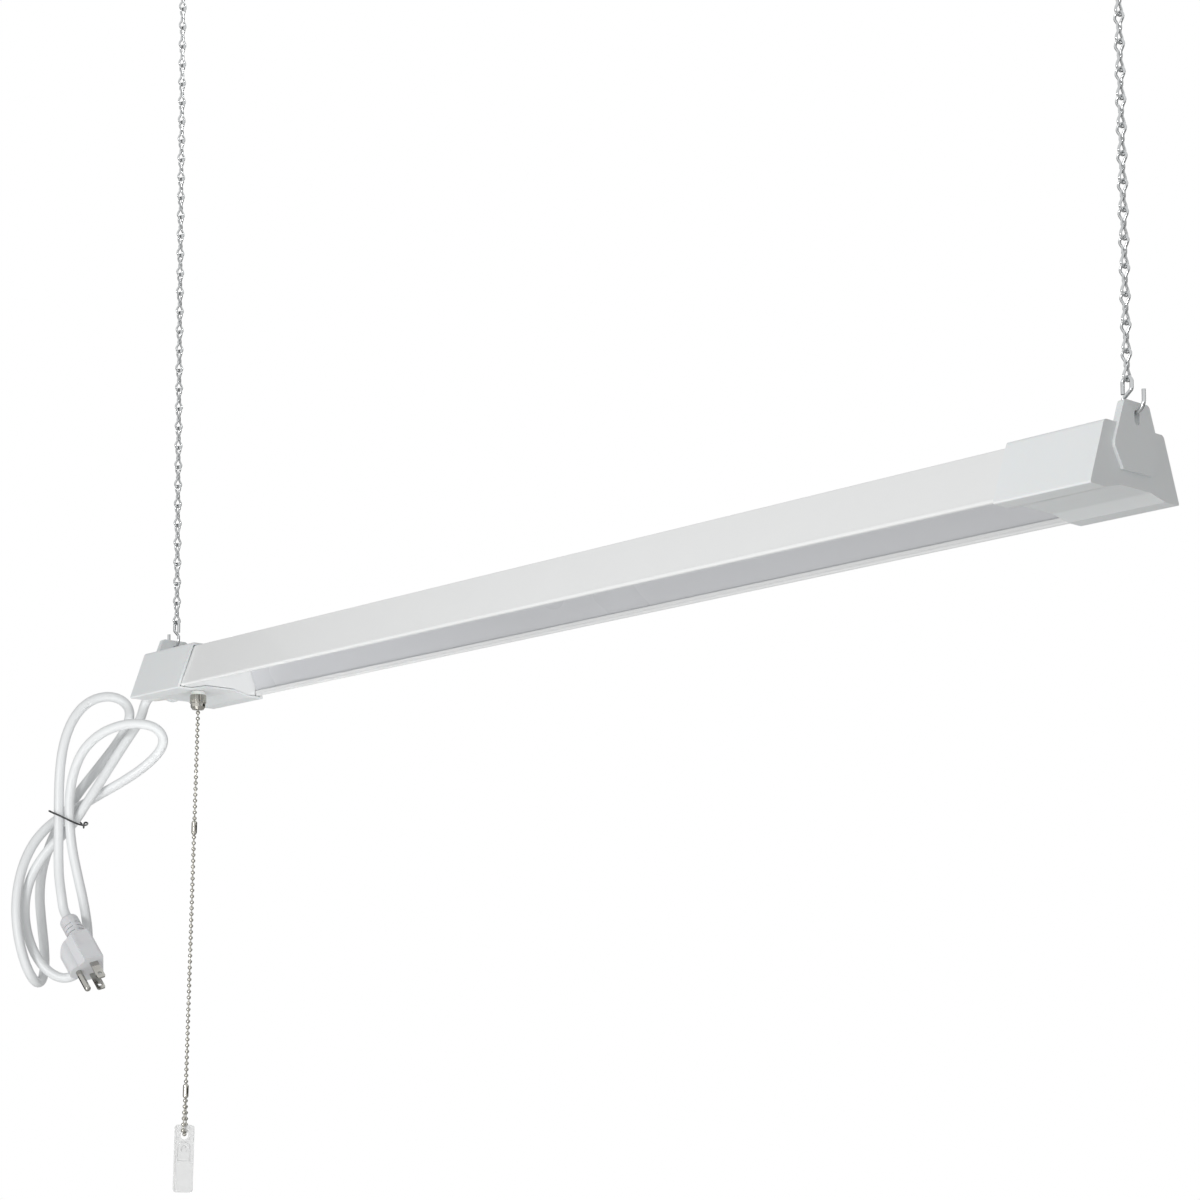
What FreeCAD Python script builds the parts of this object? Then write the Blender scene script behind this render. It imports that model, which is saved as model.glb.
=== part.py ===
"""Hanging shop light: a white trough fixture on two jack chains, with a pull-chain switch and a tied cord.

Millimetres, +Z up. The origin is on the ceiling plane, midway between the two screw hooks.
X runs along the fixture, Y across it. Heights inside the fixture are written from the plane of
the end caps' undersides, and every fixture part is then placed at that plane's height.
"""
import FreeCAD, Part

import math
import os

from FreeCAD import Placement, Rotation, Vector

DOC = FreeCAD.newDocument("hanging_shop_light")

# Driving sizes, in millimetres (counts have no unit, angles are in degrees).
SIZES = {
    # fixture and end caps
    "fixture_length": 914.0,
    "cap_length": 65.0,
    "cap_bottom_half": 39.8,
    "cap_top_half": 26.4,
    "cap_height": 36.7,
    "cap_wall": 2.1,
    "cap_floor": 1.5,
    "cap_end_wall": 2.3,
    "cap_edge_round": 3.0,
    "cap_low_round": 1.0,
    "cap_lip": 13.2,
    "cap_lip_slope": 13.4,
    "cap_channel_depth": 3.1,
    "fit_gap": 0.3,
    # hanger tab on each end cap
    "tab_proud": 2.0,
    "tab_top": 49.8,
    "tab_top_half": 10.9,
    "tab_wide_height": 22.8,
    "tab_wide_half": 20.0,
    "tab_bottom": 11.4,
    "tab_bottom_half": 12.8,
    "slot_top": 45.5,
    "slot_bottom": 37.0,
    "slot_width": 4.8,
    "tab_corner": 3.0,
    # housing channel
    "sheet_wall": 0.8,
    "housing_top_half": 24.2,
    "bead_half": 34.56,
    "bead_round": 1.6,
    "hem_top": 5.6,
    "hem_lean": 1.0,
    # reflector and lamp
    "tray_wall": 0.6,
    "tray_ceiling": 23.4,
    "tray_bottom": 5.2,
    "board_width": 22.0,
    "board_thick": 1.0,
    "chip_side": 3.0,
    "chip_thick": 0.7,
    "chip_count": 36,
    "lens_half_top": 17.0,
    "lens_half_bottom": 14.5,
    "lens_depth": 6.0,
    "lens_wall": 1.2,
    "lamp_end_gap": 6.0,
    "bulkhead_thick": 1.4,
    "bulkhead_recess": 0.6,
    # driver
    "driver_length": 140.0,
    "driver_half": 18.0,
    "driver_height": 8.0,
    "driver_wall": 0.8,
    "driver_inset": 12.0,
    # cap screws
    "screw_round": 1.6,
    "screw_head_round": 3.4,
    "screw_head_height": 2.0,
    "screw_length": 8.0,
    "screw_spread": 12.0,
    "screw_inset": 18.0,
    # switch
    "switch_to_mouth": 18.0,
    "switch_offset": 8.4,
    "switch_length": 26.0,
    "switch_width": 18.0,
    "switch_height": 19.0,
    "switch_wall": 1.5,
    "switch_base": 4.0,
    "bushing_round": 4.7,
    "collar_round": 5.5,
    "collar_height": 3.1,
    "nut_round": 6.3,
    "nut_height": 6.7,
    "mouth_round": 5.7,
    "mouth_height": 4.6,
    "stem_round": 1.2,
    "stem_fit": 0.06,
    "stem_collar_round": 3.0,
    "stem_collar_height": 1.4,
    "pull_travel": 6.0,
    "spring_wire": 0.8,
    "spring_round": 2.3,
    "spring_turns": 5,
    "rotor_round": 3.6,
    "rotor_width": 3.0,
    "rotor_pin_round": 0.8,
    # pull chain
    "bead_diameter": 3.2,
    "bead_pitch": 4.55,
    "bead_bar": 0.5,
    "upper_bead_count": 19,
    "lower_bead_count": 44,
    "loop_bead_count": 14,
    "loop_round": 3.2,
    "loop_turn": 78.0,
    "connector_round": 2.15,
    "connector_length": 11.0,
    "connector_wall": 0.35,
    "chain_lean": 1.55,
    "tag_width": 14.8,
    "tag_length": 51.0,
    "tag_thick": 1.2,
    "tag_rim": 1.3,
    "tag_rim_proud": 0.3,
    "tag_corner": 2.6,
    "tag_hole_round": 3.05,
    "tag_hole_inset": 8.0,
    "tag_turn": 46.7,
    # hanging chains
    "chain_inset": 4.0,
    "link_wire": 1.6,
    "link_half": 5.85,
    "link_bend": 2.8,
    "link_knot": 1.7,
    "link_gap": 0.1,
    "chain_links": 33,
    "hook_wire": 3.2,
    "hook_bowl": 7.0,
    "hook_drop": 35.2,
    "hook_shank": 20.0,
    "s_wire": 2.2,
    "s_top": 64.7,
    "s_bottom": 43.75,
    "s_eye": 2.9,
    "s_eye_end": 9.0,
    "s_eye_side": 7.0,
    "s_tip": 10.6,
    "s_tip_top": 56.0,
    # power cord and plug
    "cord_diameter": 7.6,
    "cord_exit_height": 10.0,
    "relief_flange_round": 8.0,
    "relief_flange_thick": 2.0,
    "relief_round": 5.2,
    "relief_length": 22.0,
    "relief_inside": 10.0,
    "hank_turn": 46.75,
    "tie_wire": 1.4,
    "plug_length": 29.5,
    "plug_width": 24.8,
    "plug_back": 8.0,
    "plug_front": 7.0,
    "plug_corner": 2.4,
    "plug_panel_depth": 0.35,
    "plug_lobe_round": 7.0,
    "plug_lobe_root": 10.3,
    "plug_neck_length": 25.0,
    "plug_neck_offset": 0.85,
    "plug_neck_round": 7.4,
    "plug_slot_width": 0.9,
    "plug_slot_depth": 1.4,
    "plug_slot_pitch": 4.0,
    "plug_slot_start": 9.6,
    "plug_slot_web": 2.8,
    "blade_spacing": 12.7,
    "blade_width": 6.35,
    "blade_thick": 1.5,
    "blade_length": 17.0,
    "pin_round": 2.4,
    "pin_length": 20.0,
    "pin_offset": 11.9,
}


# ---------------------------------------------------------------- sizes and the spreadsheet

class Size:
    """A driving size, or a sum of them, that carries its number and its spreadsheet formula."""

    def __init__(self, number, formula):
        self.number = float(number)
        self.formula = formula

    def __float__(self):
        return self.number

    @staticmethod
    def of(other):
        return other if isinstance(other, Size) else Size(other, repr(float(other)))

    def joined(self, other, sign, number):
        return Size(number, f"({self.formula} {sign} {other.formula})")

    def __add__(self, other):
        other = Size.of(other)
        return self.joined(other, "+", self.number + other.number)

    def __radd__(self, other):
        return Size.of(other) + self

    def __sub__(self, other):
        other = Size.of(other)
        return self.joined(other, "-", self.number - other.number)

    def __rsub__(self, other):
        return Size.of(other) - self

    def __mul__(self, other):
        other = Size.of(other)
        return self.joined(other, "*", self.number * other.number)

    def __rmul__(self, other):
        return Size.of(other) * self

    def __truediv__(self, other):
        other = Size.of(other)
        return self.joined(other, "/", self.number / other.number)

    def __neg__(self):
        return 0.0 - self


class Sheet:
    """The driving sizes by name, each a cell of the document's spreadsheet."""

    def __init__(self, sizes):
        cells = DOC.addObject("Spreadsheet::Sheet", "Sizes")
        for row, (alias, value) in enumerate(sizes.items(), start=1):
            cells.set(f"A{row}", alias)
            cells.set(f"B{row}", str(value))
            cells.setAlias(f"B{row}", alias)
            setattr(self, alias, Size(value, f"Sizes.{alias}"))
        DOC.recompute()


S = Sheet(SIZES)


def bind(thing, prop, size):
    """Ties a property of an object to the spreadsheet, or leaves it at its number."""
    if isinstance(size, Size):
        thing.setExpression(prop, size.formula)


# Heights and lengths that follow from the driving sizes.
HALF = S.fixture_length / 2
CAP_LEAN = (S.cap_bottom_half - S.cap_top_half) / S.cap_height
LINK_REACH = S.link_half * 2 + S.link_bend * 2
LINK_PITCH = LINK_REACH - S.link_wire - S.link_gap
CHAIN_FALL = LINK_REACH + LINK_PITCH * (S.chain_links - 1)
CHAIN_X = HALF - S.chain_inset
HOOK_BOWL_Z = -S.hook_drop
LINK_TOP_Z = HOOK_BOWL_Z + S.hook_wire / 2 + S.link_wire / 2 + S.link_gap
LINK_BOTTOM_Z = LINK_TOP_Z - CHAIN_FALL
FIXTURE_Z = LINK_BOTTOM_Z + S.link_gap + S.link_wire / 2 + S.s_wire / 2 - S.s_top
CAP_MOUTH = HALF - S.cap_length
HOUSING_BOTTOM = S.cap_floor + S.fit_gap
HOUSING_TOP = S.cap_height - S.cap_wall - S.fit_gap
BEAD_Z = HOUSING_BOTTOM + S.bead_round
HOUSING_LEAN = (S.bead_half + S.bead_round - S.housing_top_half) / (HOUSING_TOP - BEAD_Z)
FLOOR_TOP = S.cap_channel_depth + S.cap_floor
SWITCH_INSET = S.cap_length - S.switch_to_mouth
SWITCH_X = SWITCH_INSET - HALF
SWITCH_Y = -S.switch_offset
RELIEF_FACE = S.tab_proud + S.relief_flange_thick
CORD_ANCHOR_X = -HALF - RELIEF_FACE


def housing_half(height):
    """Half-width of the housing's outer side at a height."""
    return S.bead_half + S.bead_round - HOUSING_LEAN * (height - BEAD_Z)


# ---------------------------------------------------------------- modelling helpers

PARTS = []


def keep(thing, label, place=None, turn=0.0):
    """Names a finished sub-part and puts it at its place (x, y, z), turned about Z."""
    thing.Label = label
    place = place or (0.0, 0.0, FIXTURE_Z)
    thing.Placement = Placement(Vector(*[float(value) for value in place]),
                                Rotation(Vector(0, 0, 1), float(turn)))
    for axis, value in zip("xyz", place):
        bind(thing, f"Placement.Base.{axis}", value)
    PARTS.append(thing)
    return thing


def new_body(name):
    """A PartDesign body."""
    return DOC.addObject("PartDesign::Body", name + "_body")


def new_sketch(body, role, name, offset=0.0):
    """A sketch on one of the body's origin planes, moved along the plane's normal by offset."""
    sketch = body.newObject("Sketcher::SketchObject", name)
    planes = [feature for feature in body.Origin.OriginFeatures if feature.Role == role]
    sketch.AttachmentSupport = [(planes[0], "")]
    sketch.MapMode = "FlatFace"
    sketch.AttachmentOffset = Placement(Vector(0, 0, float(offset)), Rotation())
    bind(sketch, "AttachmentOffset.Base.z", offset)
    return sketch


def dimension(sketch, kind, item, point, size):
    """Fixes the x or y of a point, or a radius, in a sketch, tied to the spreadsheet."""
    import Sketcher
    if kind == "Radius":
        index = sketch.addConstraint(Sketcher.Constraint("Radius", item, float(size)))
    else:
        index = sketch.addConstraint(Sketcher.Constraint(kind, -1, 1, item, point, float(size)))
    bind(sketch, f"Constraints[{index}]", size)


def outline(sketch, corners):
    """Draws a closed outline of straight lines; each corner is (x, y) of sizes or numbers."""
    import Sketcher
    points = [Vector(float(x), float(y), 0) for x, y in corners]
    lines = [Part.LineSegment(start, end) for start, end in zip(points, points[1:] + points[:1])]
    first = sketch.addGeometry(lines, False)[0]
    for index in range(len(lines)):
        following = first + (index + 1) % len(lines)
        sketch.addConstraint(Sketcher.Constraint("Coincident", first + index, 2, following, 1))
    for index, (x, y) in enumerate(corners):
        dimension(sketch, "DistanceX", first + index, 1, x)
        dimension(sketch, "DistanceY", first + index, 1, y)
    return sketch


def circle(sketch, x, y, radius):
    """Draws a circle."""
    centre = Vector(float(x), float(y), 0)
    item = sketch.addGeometry(Part.Circle(centre, Vector(0, 0, 1), float(radius)), False)
    dimension(sketch, "DistanceX", item, 3, x)
    dimension(sketch, "DistanceY", item, 3, y)
    dimension(sketch, "Radius", item, 0, radius)
    return sketch


def mirrored(corners):
    """The corners of a right half, from bottom to top, with their mirror image across x = 0."""
    return list(corners) + [(-x, y) for x, y in reversed(corners)]


def extrude(body, sketch, length, name, kind="PartDesign::Pad", midplane=False, backwards=False):
    """Pads or pockets a sketch, and checks that the body's volume changed the right way."""
    DOC.recompute()
    before = body.Shape.Volume if body.Tip and kind.endswith("Pocket") else 0.0
    feature = body.newObject(kind, name)
    feature.Profile = sketch
    feature.Length = float(length)
    bind(feature, "Length", length)
    feature.Midplane = midplane
    feature.Reversed = backwards
    DOC.recompute()
    changed = body.Shape.Volume - before
    if (changed < 0) != kind.endswith("Pocket"):
        raise ValueError(f"{body.Name} {name} changed nothing")
    return feature


def pad(body, sketch, length, name, **options):
    """Adds a sketch's prism to the body."""
    return extrude(body, sketch, length, name, **options)


def pocket(body, sketch, length, name, **options):
    """Cuts a sketch's prism from the body."""
    return extrude(body, sketch, length, name, kind="PartDesign::Pocket", **options)


def revolve(body, sketch, name, kind="PartDesign::Revolution"):
    """Turns a sketch on the XZ plane a full turn about the body's Z axis."""
    feature = body.newObject(kind, name)
    feature.Profile = sketch
    feature.ReferenceAxis = (sketch, ["V_Axis"])
    feature.Angle = 360.0
    DOC.recompute()
    return feature


def round_edges(body, base, wanted, radius, name, kind="PartDesign::Fillet"):
    """Rounds the edges of the body's last feature that the function wanted picks."""
    names = [f"Edge{index}" for index, edge in enumerate(base.Shape.Edges, start=1) if wanted(edge)]
    if not names:
        raise ValueError(f"{body.Name} {name} found no edge")
    feature = body.newObject(kind, name)
    feature.Base = (base, names)
    prop = "Radius" if kind.endswith("Fillet") else "Size"
    setattr(feature, prop, float(radius))
    bind(feature, prop, radius)
    DOC.recompute()
    return feature


def along(axis):
    """Picks straight edges that run along an axis."""
    direction = Vector(*[1.0 if letter == axis else 0.0 for letter in "xyz"])

    def wanted(edge):
        if not isinstance(edge.Curve, Part.Line):
            return False
        return abs(abs(edge.Curve.Direction.dot(direction)) - 1.0) < 1e-6
    return wanted


def shape_part(label, shape, place=None, turn=0.0):
    """A sub-part whose shape comes from Part's own functions."""
    feature = DOC.addObject("Part::Feature", label + "_shape")
    feature.Shape = shape
    return keep(feature, label, place, turn)


# ---------------------------------------------------------------- wire and cord paths

def rounded_path(points, radii=None, share=0.45):
    """Straight runs joined by tangent arcs.

    With no radii, each arc is as large as its two runs allow: share of the shorter run,
    divided by the tangent of half the turn. Returns the edges and the arcs' radii.
    """
    points = [Vector(*[float(value) for value in point]) for point in points]
    edges = []
    found = []
    start = points[0]
    for index in range(1, len(points) - 1):
        before, corner, after = points[index - 1:index + 2]
        incoming = (corner - before).normalize()
        outgoing = (after - corner).normalize()
        half_turn = incoming.getAngle(outgoing) / 2
        shorter = min((corner - before).Length, (after - corner).Length)
        if radii:
            setback = float(radii[index - 1]) * math.tan(half_turn)
        else:
            setback = share * shorter
        radius = setback / math.tan(half_turn)
        arc_start = corner - incoming * setback
        arc_end = corner + outgoing * setback
        inward = (outgoing - incoming).normalize()
        middle = corner + inward * (radius / math.cos(half_turn) - radius)
        if (arc_start - start).Length > 1e-6:
            edges.append(Part.LineSegment(start, arc_start).toShape())
        edges.append(Part.Arc(arc_start, middle, arc_end).toShape())
        found.append(radius)
        start = arc_end
    edges.append(Part.LineSegment(start, points[-1]).toShape())
    return edges, found


def tube(edges, diameter):
    """A round tube along joined edges, as one solid."""
    path = Part.Wire(edges)
    first = edges[0]
    start = first.valueAt(first.FirstParameter)
    direction = first.tangentAt(first.FirstParameter)
    section = Part.Wire([Part.Circle(start, direction, float(diameter) / 2).toShape()])
    return path.makePipeShell([section], True, False), path.Length


def report_tube(name, radii, solid, length, diameter):
    """Prints a tube's tightest radii, and its volume against its section times its length."""
    ideal = math.pi * (diameter / 2) ** 2 * length
    tight = ", ".join(f"{radius:.1f}" for radius in radii)
    print(f"{name}: length {length:.0f} mm, volume ratio {solid.Volume / ideal:.4f}, radii {tight}")


def self_gap(edges, diameter, step=2.0, skip=26.0):
    """The least gap of a tube to itself, measured on points along its middle."""
    samples = []
    travelled = 0.0
    for edge in edges:
        count = max(2, int(edge.Length / step) + 1)
        for point in edge.discretize(count)[:-1]:
            samples.append((travelled + (point - edge.valueAt(edge.FirstParameter)).Length, point))
        travelled += edge.Length
    least = min((first[1] - second[1]).Length
                for index, first in enumerate(samples)
                for second in samples[index + 1:] if second[0] - first[0] > skip)
    return least - diameter


# ---------------------------------------------------------------- housing and lamp

def make_housing():
    """The sheet channel with rolled beads and inner hems along its lower edges."""
    length = S.fixture_length - (S.cap_end_wall + 1.2) * 2
    body = new_body("housing")
    side = S.sheet_wall * 1.065
    outer = outline(new_sketch(body, "YZ_Plane", "side_outline"),
                    mirrored([(housing_half(BEAD_Z), BEAD_Z), (S.housing_top_half, HOUSING_TOP)]))
    sides = pad(body, outer, length, "sides", midplane=True)
    round_edges(body, sides, lambda edge: along("x")(edge) and edge.CenterOfMass.z > float(BEAD_Z) + 5,
                S.cap_edge_round / 2, "shoulders")
    hollow_top = HOUSING_TOP - S.sheet_wall
    hollow = outline(new_sketch(body, "YZ_Plane", "hollow_outline"),
                     mirrored([(housing_half(BEAD_Z) + HOUSING_LEAN - side, BEAD_Z - 1.0),
                               (housing_half(hollow_top) - side, hollow_top)]))
    pocket(body, hollow, length, "hollow", midplane=True)
    for sign, name in ((1, "far"), (-1, "near")):
        bead = circle(new_sketch(body, "YZ_Plane", f"{name}_bead_outline"),
                      S.bead_half * sign, BEAD_Z, S.bead_round)
        pad(body, bead, length, f"{name}_bead", midplane=True)
        inner = S.bead_half - S.bead_round * 0.7
        hem = outline(new_sketch(body, "YZ_Plane", f"{name}_hem_outline"),
                      [(inner * sign, HOUSING_BOTTOM + S.bead_round * 0.5),
                       ((inner + S.sheet_wall) * sign, HOUSING_BOTTOM + S.bead_round * 0.5),
                       ((inner + S.sheet_wall - S.hem_lean) * sign, S.hem_top),
                       ((inner - S.hem_lean) * sign, S.hem_top)])
        pad(body, hem, length, f"{name}_hem", midplane=True)
    holes = new_sketch(body, "XY_Plane", "screw_hole_outline", HOUSING_TOP + 1.0)
    for end in (1, -1):
        for row in (1, -1):
            circle(holes, (HALF - S.screw_inset) * end, S.screw_spread * row, S.screw_round + 0.05)
    pocket(body, holes, S.sheet_wall + 3.0, "screw_holes")
    return keep(body, "housing_channel")


def make_reflector():
    """The white inner tray that snaps behind the hems."""
    body = new_body("reflector")
    reach = (CAP_MOUTH + S.bulkhead_recess - S.fit_gap) * 2
    gap = S.sheet_wall * 1.065 + 0.12
    low = housing_half(S.tray_bottom) - gap
    high = housing_half(S.tray_ceiling + S.tray_wall) - gap
    outer = outline(new_sketch(body, "YZ_Plane", "tray_outline"),
                    mirrored([(low, S.tray_bottom), (high, S.tray_ceiling + S.tray_wall)]))
    tray = pad(body, outer, reach, "tray", midplane=True)
    round_edges(body, tray, lambda edge: along("x")(edge) and edge.CenterOfMass.z > float(S.tray_bottom) + 5,
                S.cap_edge_round, "tray_bends")
    lean = (low - high) / (S.tray_ceiling + S.tray_wall - S.tray_bottom)
    inner = outline(new_sketch(body, "YZ_Plane", "tray_hollow_outline"),
                    mirrored([(low + lean - S.tray_wall * 1.07, S.tray_bottom - 1.0),
                              (high + lean * 4.0 - S.tray_wall * 1.07, S.tray_ceiling - 3.4),
                              (high - 2.4, S.tray_ceiling)]))
    pocket(body, inner, reach, "tray_hollow", midplane=True)
    return keep(body, "reflector_tray")


def make_lamp():
    """The LED board, its chips, and the frosted lens below them."""
    reach = (CAP_MOUTH - S.lamp_end_gap) * 2
    board_bottom = S.tray_ceiling - S.board_thick
    board = new_body("led_board")
    pad(board, outline(new_sketch(board, "YZ_Plane", "board_outline"),
                       mirrored([(S.board_width / 2, board_bottom), (S.board_width / 2, S.tray_ceiling)])),
        reach, "board", midplane=True)
    keep(board, "led_board")

    side, thick = float(S.chip_side), float(S.chip_thick)
    count = int(float(S.chip_count))
    step = float(reach) / count
    chips = []
    for index in range(count):
        x = (index + 0.5) * step - float(reach) / 2
        chips.append(Part.makeBox(side, side, thick,
                                  Vector(x - side / 2, -side / 2, float(board_bottom) - thick)))
    shape_part("led_chips", Part.makeCompound(chips))

    lens = new_body("led_lens")
    bottom = S.tray_ceiling - S.lens_depth
    outer = outline(new_sketch(lens, "YZ_Plane", "lens_outline"),
                    mirrored([(S.lens_half_bottom, bottom), (S.lens_half_top, S.tray_ceiling)]))
    shell = pad(lens, outer, reach, "lens", midplane=True)
    round_edges(lens, shell, lambda edge: along("x")(edge) and edge.CenterOfMass.z < float(bottom) + 0.1,
                S.lens_wall * 2, "lens_bends")
    hollow = outline(new_sketch(lens, "YZ_Plane", "lens_hollow_outline"),
                     mirrored([(S.lens_half_bottom - S.lens_wall * 1.6, bottom + S.lens_wall),
                               (S.lens_half_top - S.lens_wall, S.tray_ceiling + 1.0)]))
    pocket(lens, hollow, reach, "lens_hollow", midplane=True)
    keep(lens, "led_lens")


def make_bulkheads():
    """The plates that close the trough inside each cap's mouth, with a hole for the leads."""
    gap = S.fit_gap
    side = S.sheet_wall * 1.065 + 0.15
    floor = S.cap_floor + 0.5
    hem_inside = S.bead_half - S.bead_round * 0.7 - S.hem_lean - gap
    top = HOUSING_TOP - S.sheet_wall - gap
    corners = mirrored([(S.cap_bottom_half - S.cap_lip - S.cap_lip_slope - 0.6, floor + S.cap_channel_depth),
                        (S.cap_bottom_half - S.cap_lip - 0.6, floor),
                        (hem_inside, floor),
                        (hem_inside, S.hem_top + gap),
                        (housing_half(S.hem_top + gap) - side, S.hem_top + gap),
                        (housing_half(top) - side - S.sheet_wall, top)])
    for label, start in (("bulkhead_right", CAP_MOUTH + S.bulkhead_recess),
                         ("bulkhead_left", -CAP_MOUTH - S.bulkhead_recess - S.bulkhead_thick)):
        body = new_body(label)
        pad(body, outline(new_sketch(body, "YZ_Plane", "plate_outline", start), corners),
            S.bulkhead_thick, "plate")
        hole = circle(new_sketch(body, "YZ_Plane", "lead_hole_outline", start), 12.0, 28.4, 3.4)
        pocket(body, hole, S.bulkhead_thick * 2, "lead_hole", midplane=True)
        keep(body, label)


def make_driver():
    """The flat LED driver above the reflector, and the circuit board sealed inside it."""
    start = -CAP_MOUTH + S.driver_inset
    bottom = S.tray_ceiling + S.tray_wall
    case = new_body("driver_case")
    outer = outline(new_sketch(case, "YZ_Plane", "case_outline", start),
                    mirrored([(S.driver_half, bottom), (S.driver_half, bottom + S.driver_height)]))
    block = pad(case, outer, S.driver_length, "case")
    round_edges(case, block, along("x"), 1.0, "case_edges")
    hollow = outline(new_sketch(case, "YZ_Plane", "case_hollow_outline", start + S.driver_wall),
                     mirrored([(S.driver_half - S.driver_wall, bottom + S.driver_wall),
                               (S.driver_half - S.driver_wall, bottom + S.driver_height - S.driver_wall)]))
    pocket(case, hollow, S.driver_length - S.driver_wall, "case_hollow", backwards=True)
    keep(case, "driver_case")

    board = new_body("driver_board")
    clear = 0.3
    low = bottom + S.driver_wall
    outer = outline(new_sketch(board, "YZ_Plane", "board_outline", start + S.driver_wall + clear),
                    mirrored([(S.driver_half - S.driver_wall - clear, low),
                              (S.driver_half - S.driver_wall - clear, low + 1.6)]))
    pad(board, outer, S.driver_length - S.driver_wall * 2 - clear * 2, "board")
    blocks = new_sketch(board, "XY_Plane", "component_outline", low + 1.6)
    for along_board, size in ((18.0, 9.0), (48.0, 14.0), (84.0, 8.0), (112.0, 11.0)):
        outline(blocks, [(start + along_board, -6.0), (start + along_board + size, -6.0),
                         (start + along_board + size, 6.0), (start + along_board, 6.0)])
    pad(board, blocks, 3.6, "components")
    keep(board, "driver_board")


# ---------------------------------------------------------------- end caps

def cap_corners():
    """The cap's outer end profile, clockwise from the channel's middle."""
    half = S.cap_bottom_half
    inner = half - S.cap_lip - S.cap_lip_slope
    return mirrored([(inner, S.cap_channel_depth), (half - S.cap_lip, 0.0), (half, 0.0),
                     (S.cap_top_half, S.cap_height)])


def cap_hollow_corners():
    """The hollow inside the cap, open towards the fixture's middle."""
    half = S.cap_bottom_half
    inner = half - S.cap_lip - S.cap_lip_slope
    floor = S.cap_floor
    top = S.cap_height - S.cap_wall
    return mirrored([(inner, floor + S.cap_channel_depth), (half - S.cap_lip, floor),
                     (half - CAP_LEAN * floor - S.cap_wall, floor),
                     (half - CAP_LEAN * top - S.cap_wall, top)])


def make_cap(label, end, with_switch):
    """One end cap with its hanger tab; the local X axis starts at the outer face."""
    body = new_body(label)
    block = pad(body, outline(new_sketch(body, "YZ_Plane", "cap_outline"), cap_corners()),
                S.cap_length, "cap")
    long_edge = along("x")
    corner = float(S.cap_bottom_half) - 1.0
    middle = float(S.cap_height) / 2
    rounded = round_edges(body, block, lambda edge: long_edge(edge) and edge.CenterOfMass.z > middle,
                          S.cap_edge_round, "cap_shoulders")
    round_edges(body, rounded, lambda edge: long_edge(edge) and edge.CenterOfMass.z < middle
                and abs(edge.CenterOfMass.y) > corner, S.cap_low_round, "cap_low_edges")
    hollow = outline(new_sketch(body, "YZ_Plane", "hollow_outline", S.cap_end_wall), cap_hollow_corners())
    pocket(body, hollow, S.cap_length, "hollow", backwards=True)

    tab = outline(new_sketch(body, "YZ_Plane", "tab_outline", -S.tab_proud),
                  mirrored([(S.tab_bottom_half, S.tab_bottom), (S.tab_wide_half, S.tab_wide_height),
                            (S.tab_wide_half, S.tab_wide_height + 3.0), (S.tab_top_half, S.tab_top)]))
    plate = pad(body, tab, S.tab_proud + S.cap_end_wall, "tab")
    top = float(S.tab_top)
    round_edges(body, plate, lambda edge: long_edge(edge) and edge.CenterOfMass.z > top - 0.1,
                S.tab_corner, "tab_rounds")
    low = S.slot_bottom + S.slot_width / 2
    high = S.slot_top - S.slot_width / 2
    slot = new_sketch(body, "YZ_Plane", "slot_outline")
    circle(slot, 0.0, high, S.slot_width / 2)
    pocket(body, slot, 20.0, "slot_top", midplane=True)
    slot = outline(new_sketch(body, "YZ_Plane", "slot_middle_outline"),
                   mirrored([(S.slot_width / 2, low), (S.slot_width / 2, high)]))
    pocket(body, slot, 20.0, "slot_middle", midplane=True)
    slot = new_sketch(body, "YZ_Plane", "slot_end_outline")
    circle(slot, 0.0, low, S.slot_width / 2)
    pocket(body, slot, 20.0, "slot_end", midplane=True)

    holes = new_sketch(body, "XY_Plane", "screw_hole_outline", S.cap_height + 1.0)
    for row in (1, -1):
        circle(holes, S.screw_inset, S.screw_spread * row, S.screw_round + 0.3)
    pocket(body, holes, S.cap_wall + 2.0, "screw_holes")
    if with_switch:
        hole = circle(new_sketch(body, "XY_Plane", "switch_hole_outline", FLOOR_TOP + 1.0),
                      SWITCH_INSET, -S.switch_offset, S.bushing_round + 0.25)
        pocket(body, hole, S.cap_floor + 3.0, "switch_hole")
        boss = circle(new_sketch(body, "YZ_Plane", "cord_boss_outline", -S.tab_proud),
                      0.0, S.cord_exit_height, S.relief_flange_round + 0.5)
        pad(body, boss, S.tab_proud + 0.5, "cord_boss")
        hole = circle(new_sketch(body, "YZ_Plane", "cord_hole_outline"),
                      0.0, S.cord_exit_height, S.relief_round + 0.1)
        pocket(body, hole, 20.0, "cord_hole", midplane=True)
    turn = 180.0 if end > 0 else 0.0
    return keep(body, label, (HALF * end, 0.0, FIXTURE_Z), turn)


def make_cap_screws():
    """Four pan-head screws through the caps' tops into the housing."""
    seat = float(S.cap_height)
    screws = []
    for end in (1, -1):
        for row in (1, -1):
            x = float(HALF - S.screw_inset) * end
            y = float(S.screw_spread) * row
            head = Part.makeCylinder(float(S.screw_head_round), float(S.screw_head_height), Vector(x, y, seat))
            rim = [edge for edge in head.Edges if edge.CenterOfMass.z > seat + 0.5 and edge.isClosed()]
            head = head.makeFillet(float(S.screw_head_height) * 0.45, rim)
            slot = float(S.screw_head_round) * 0.5
            for turn in (0, 90):
                bar = Part.makeBox(slot * 2, 0.9, 0.9, Vector(-slot, -0.45, 0))
                bar.rotate(Vector(0, 0, 0), Vector(0, 0, 1), turn)
                bar.translate(Vector(x, y, seat + float(S.screw_head_height) - 0.8))
                head = head.cut(bar)
            length = float(S.screw_length)
            shank = Part.makeCylinder(float(S.screw_round), length, Vector(x, y, seat - length))
            screws.append(head.fuse(shank).removeSplitter())
    shape_part("cap_screws", Part.makeCompound(screws))


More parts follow.
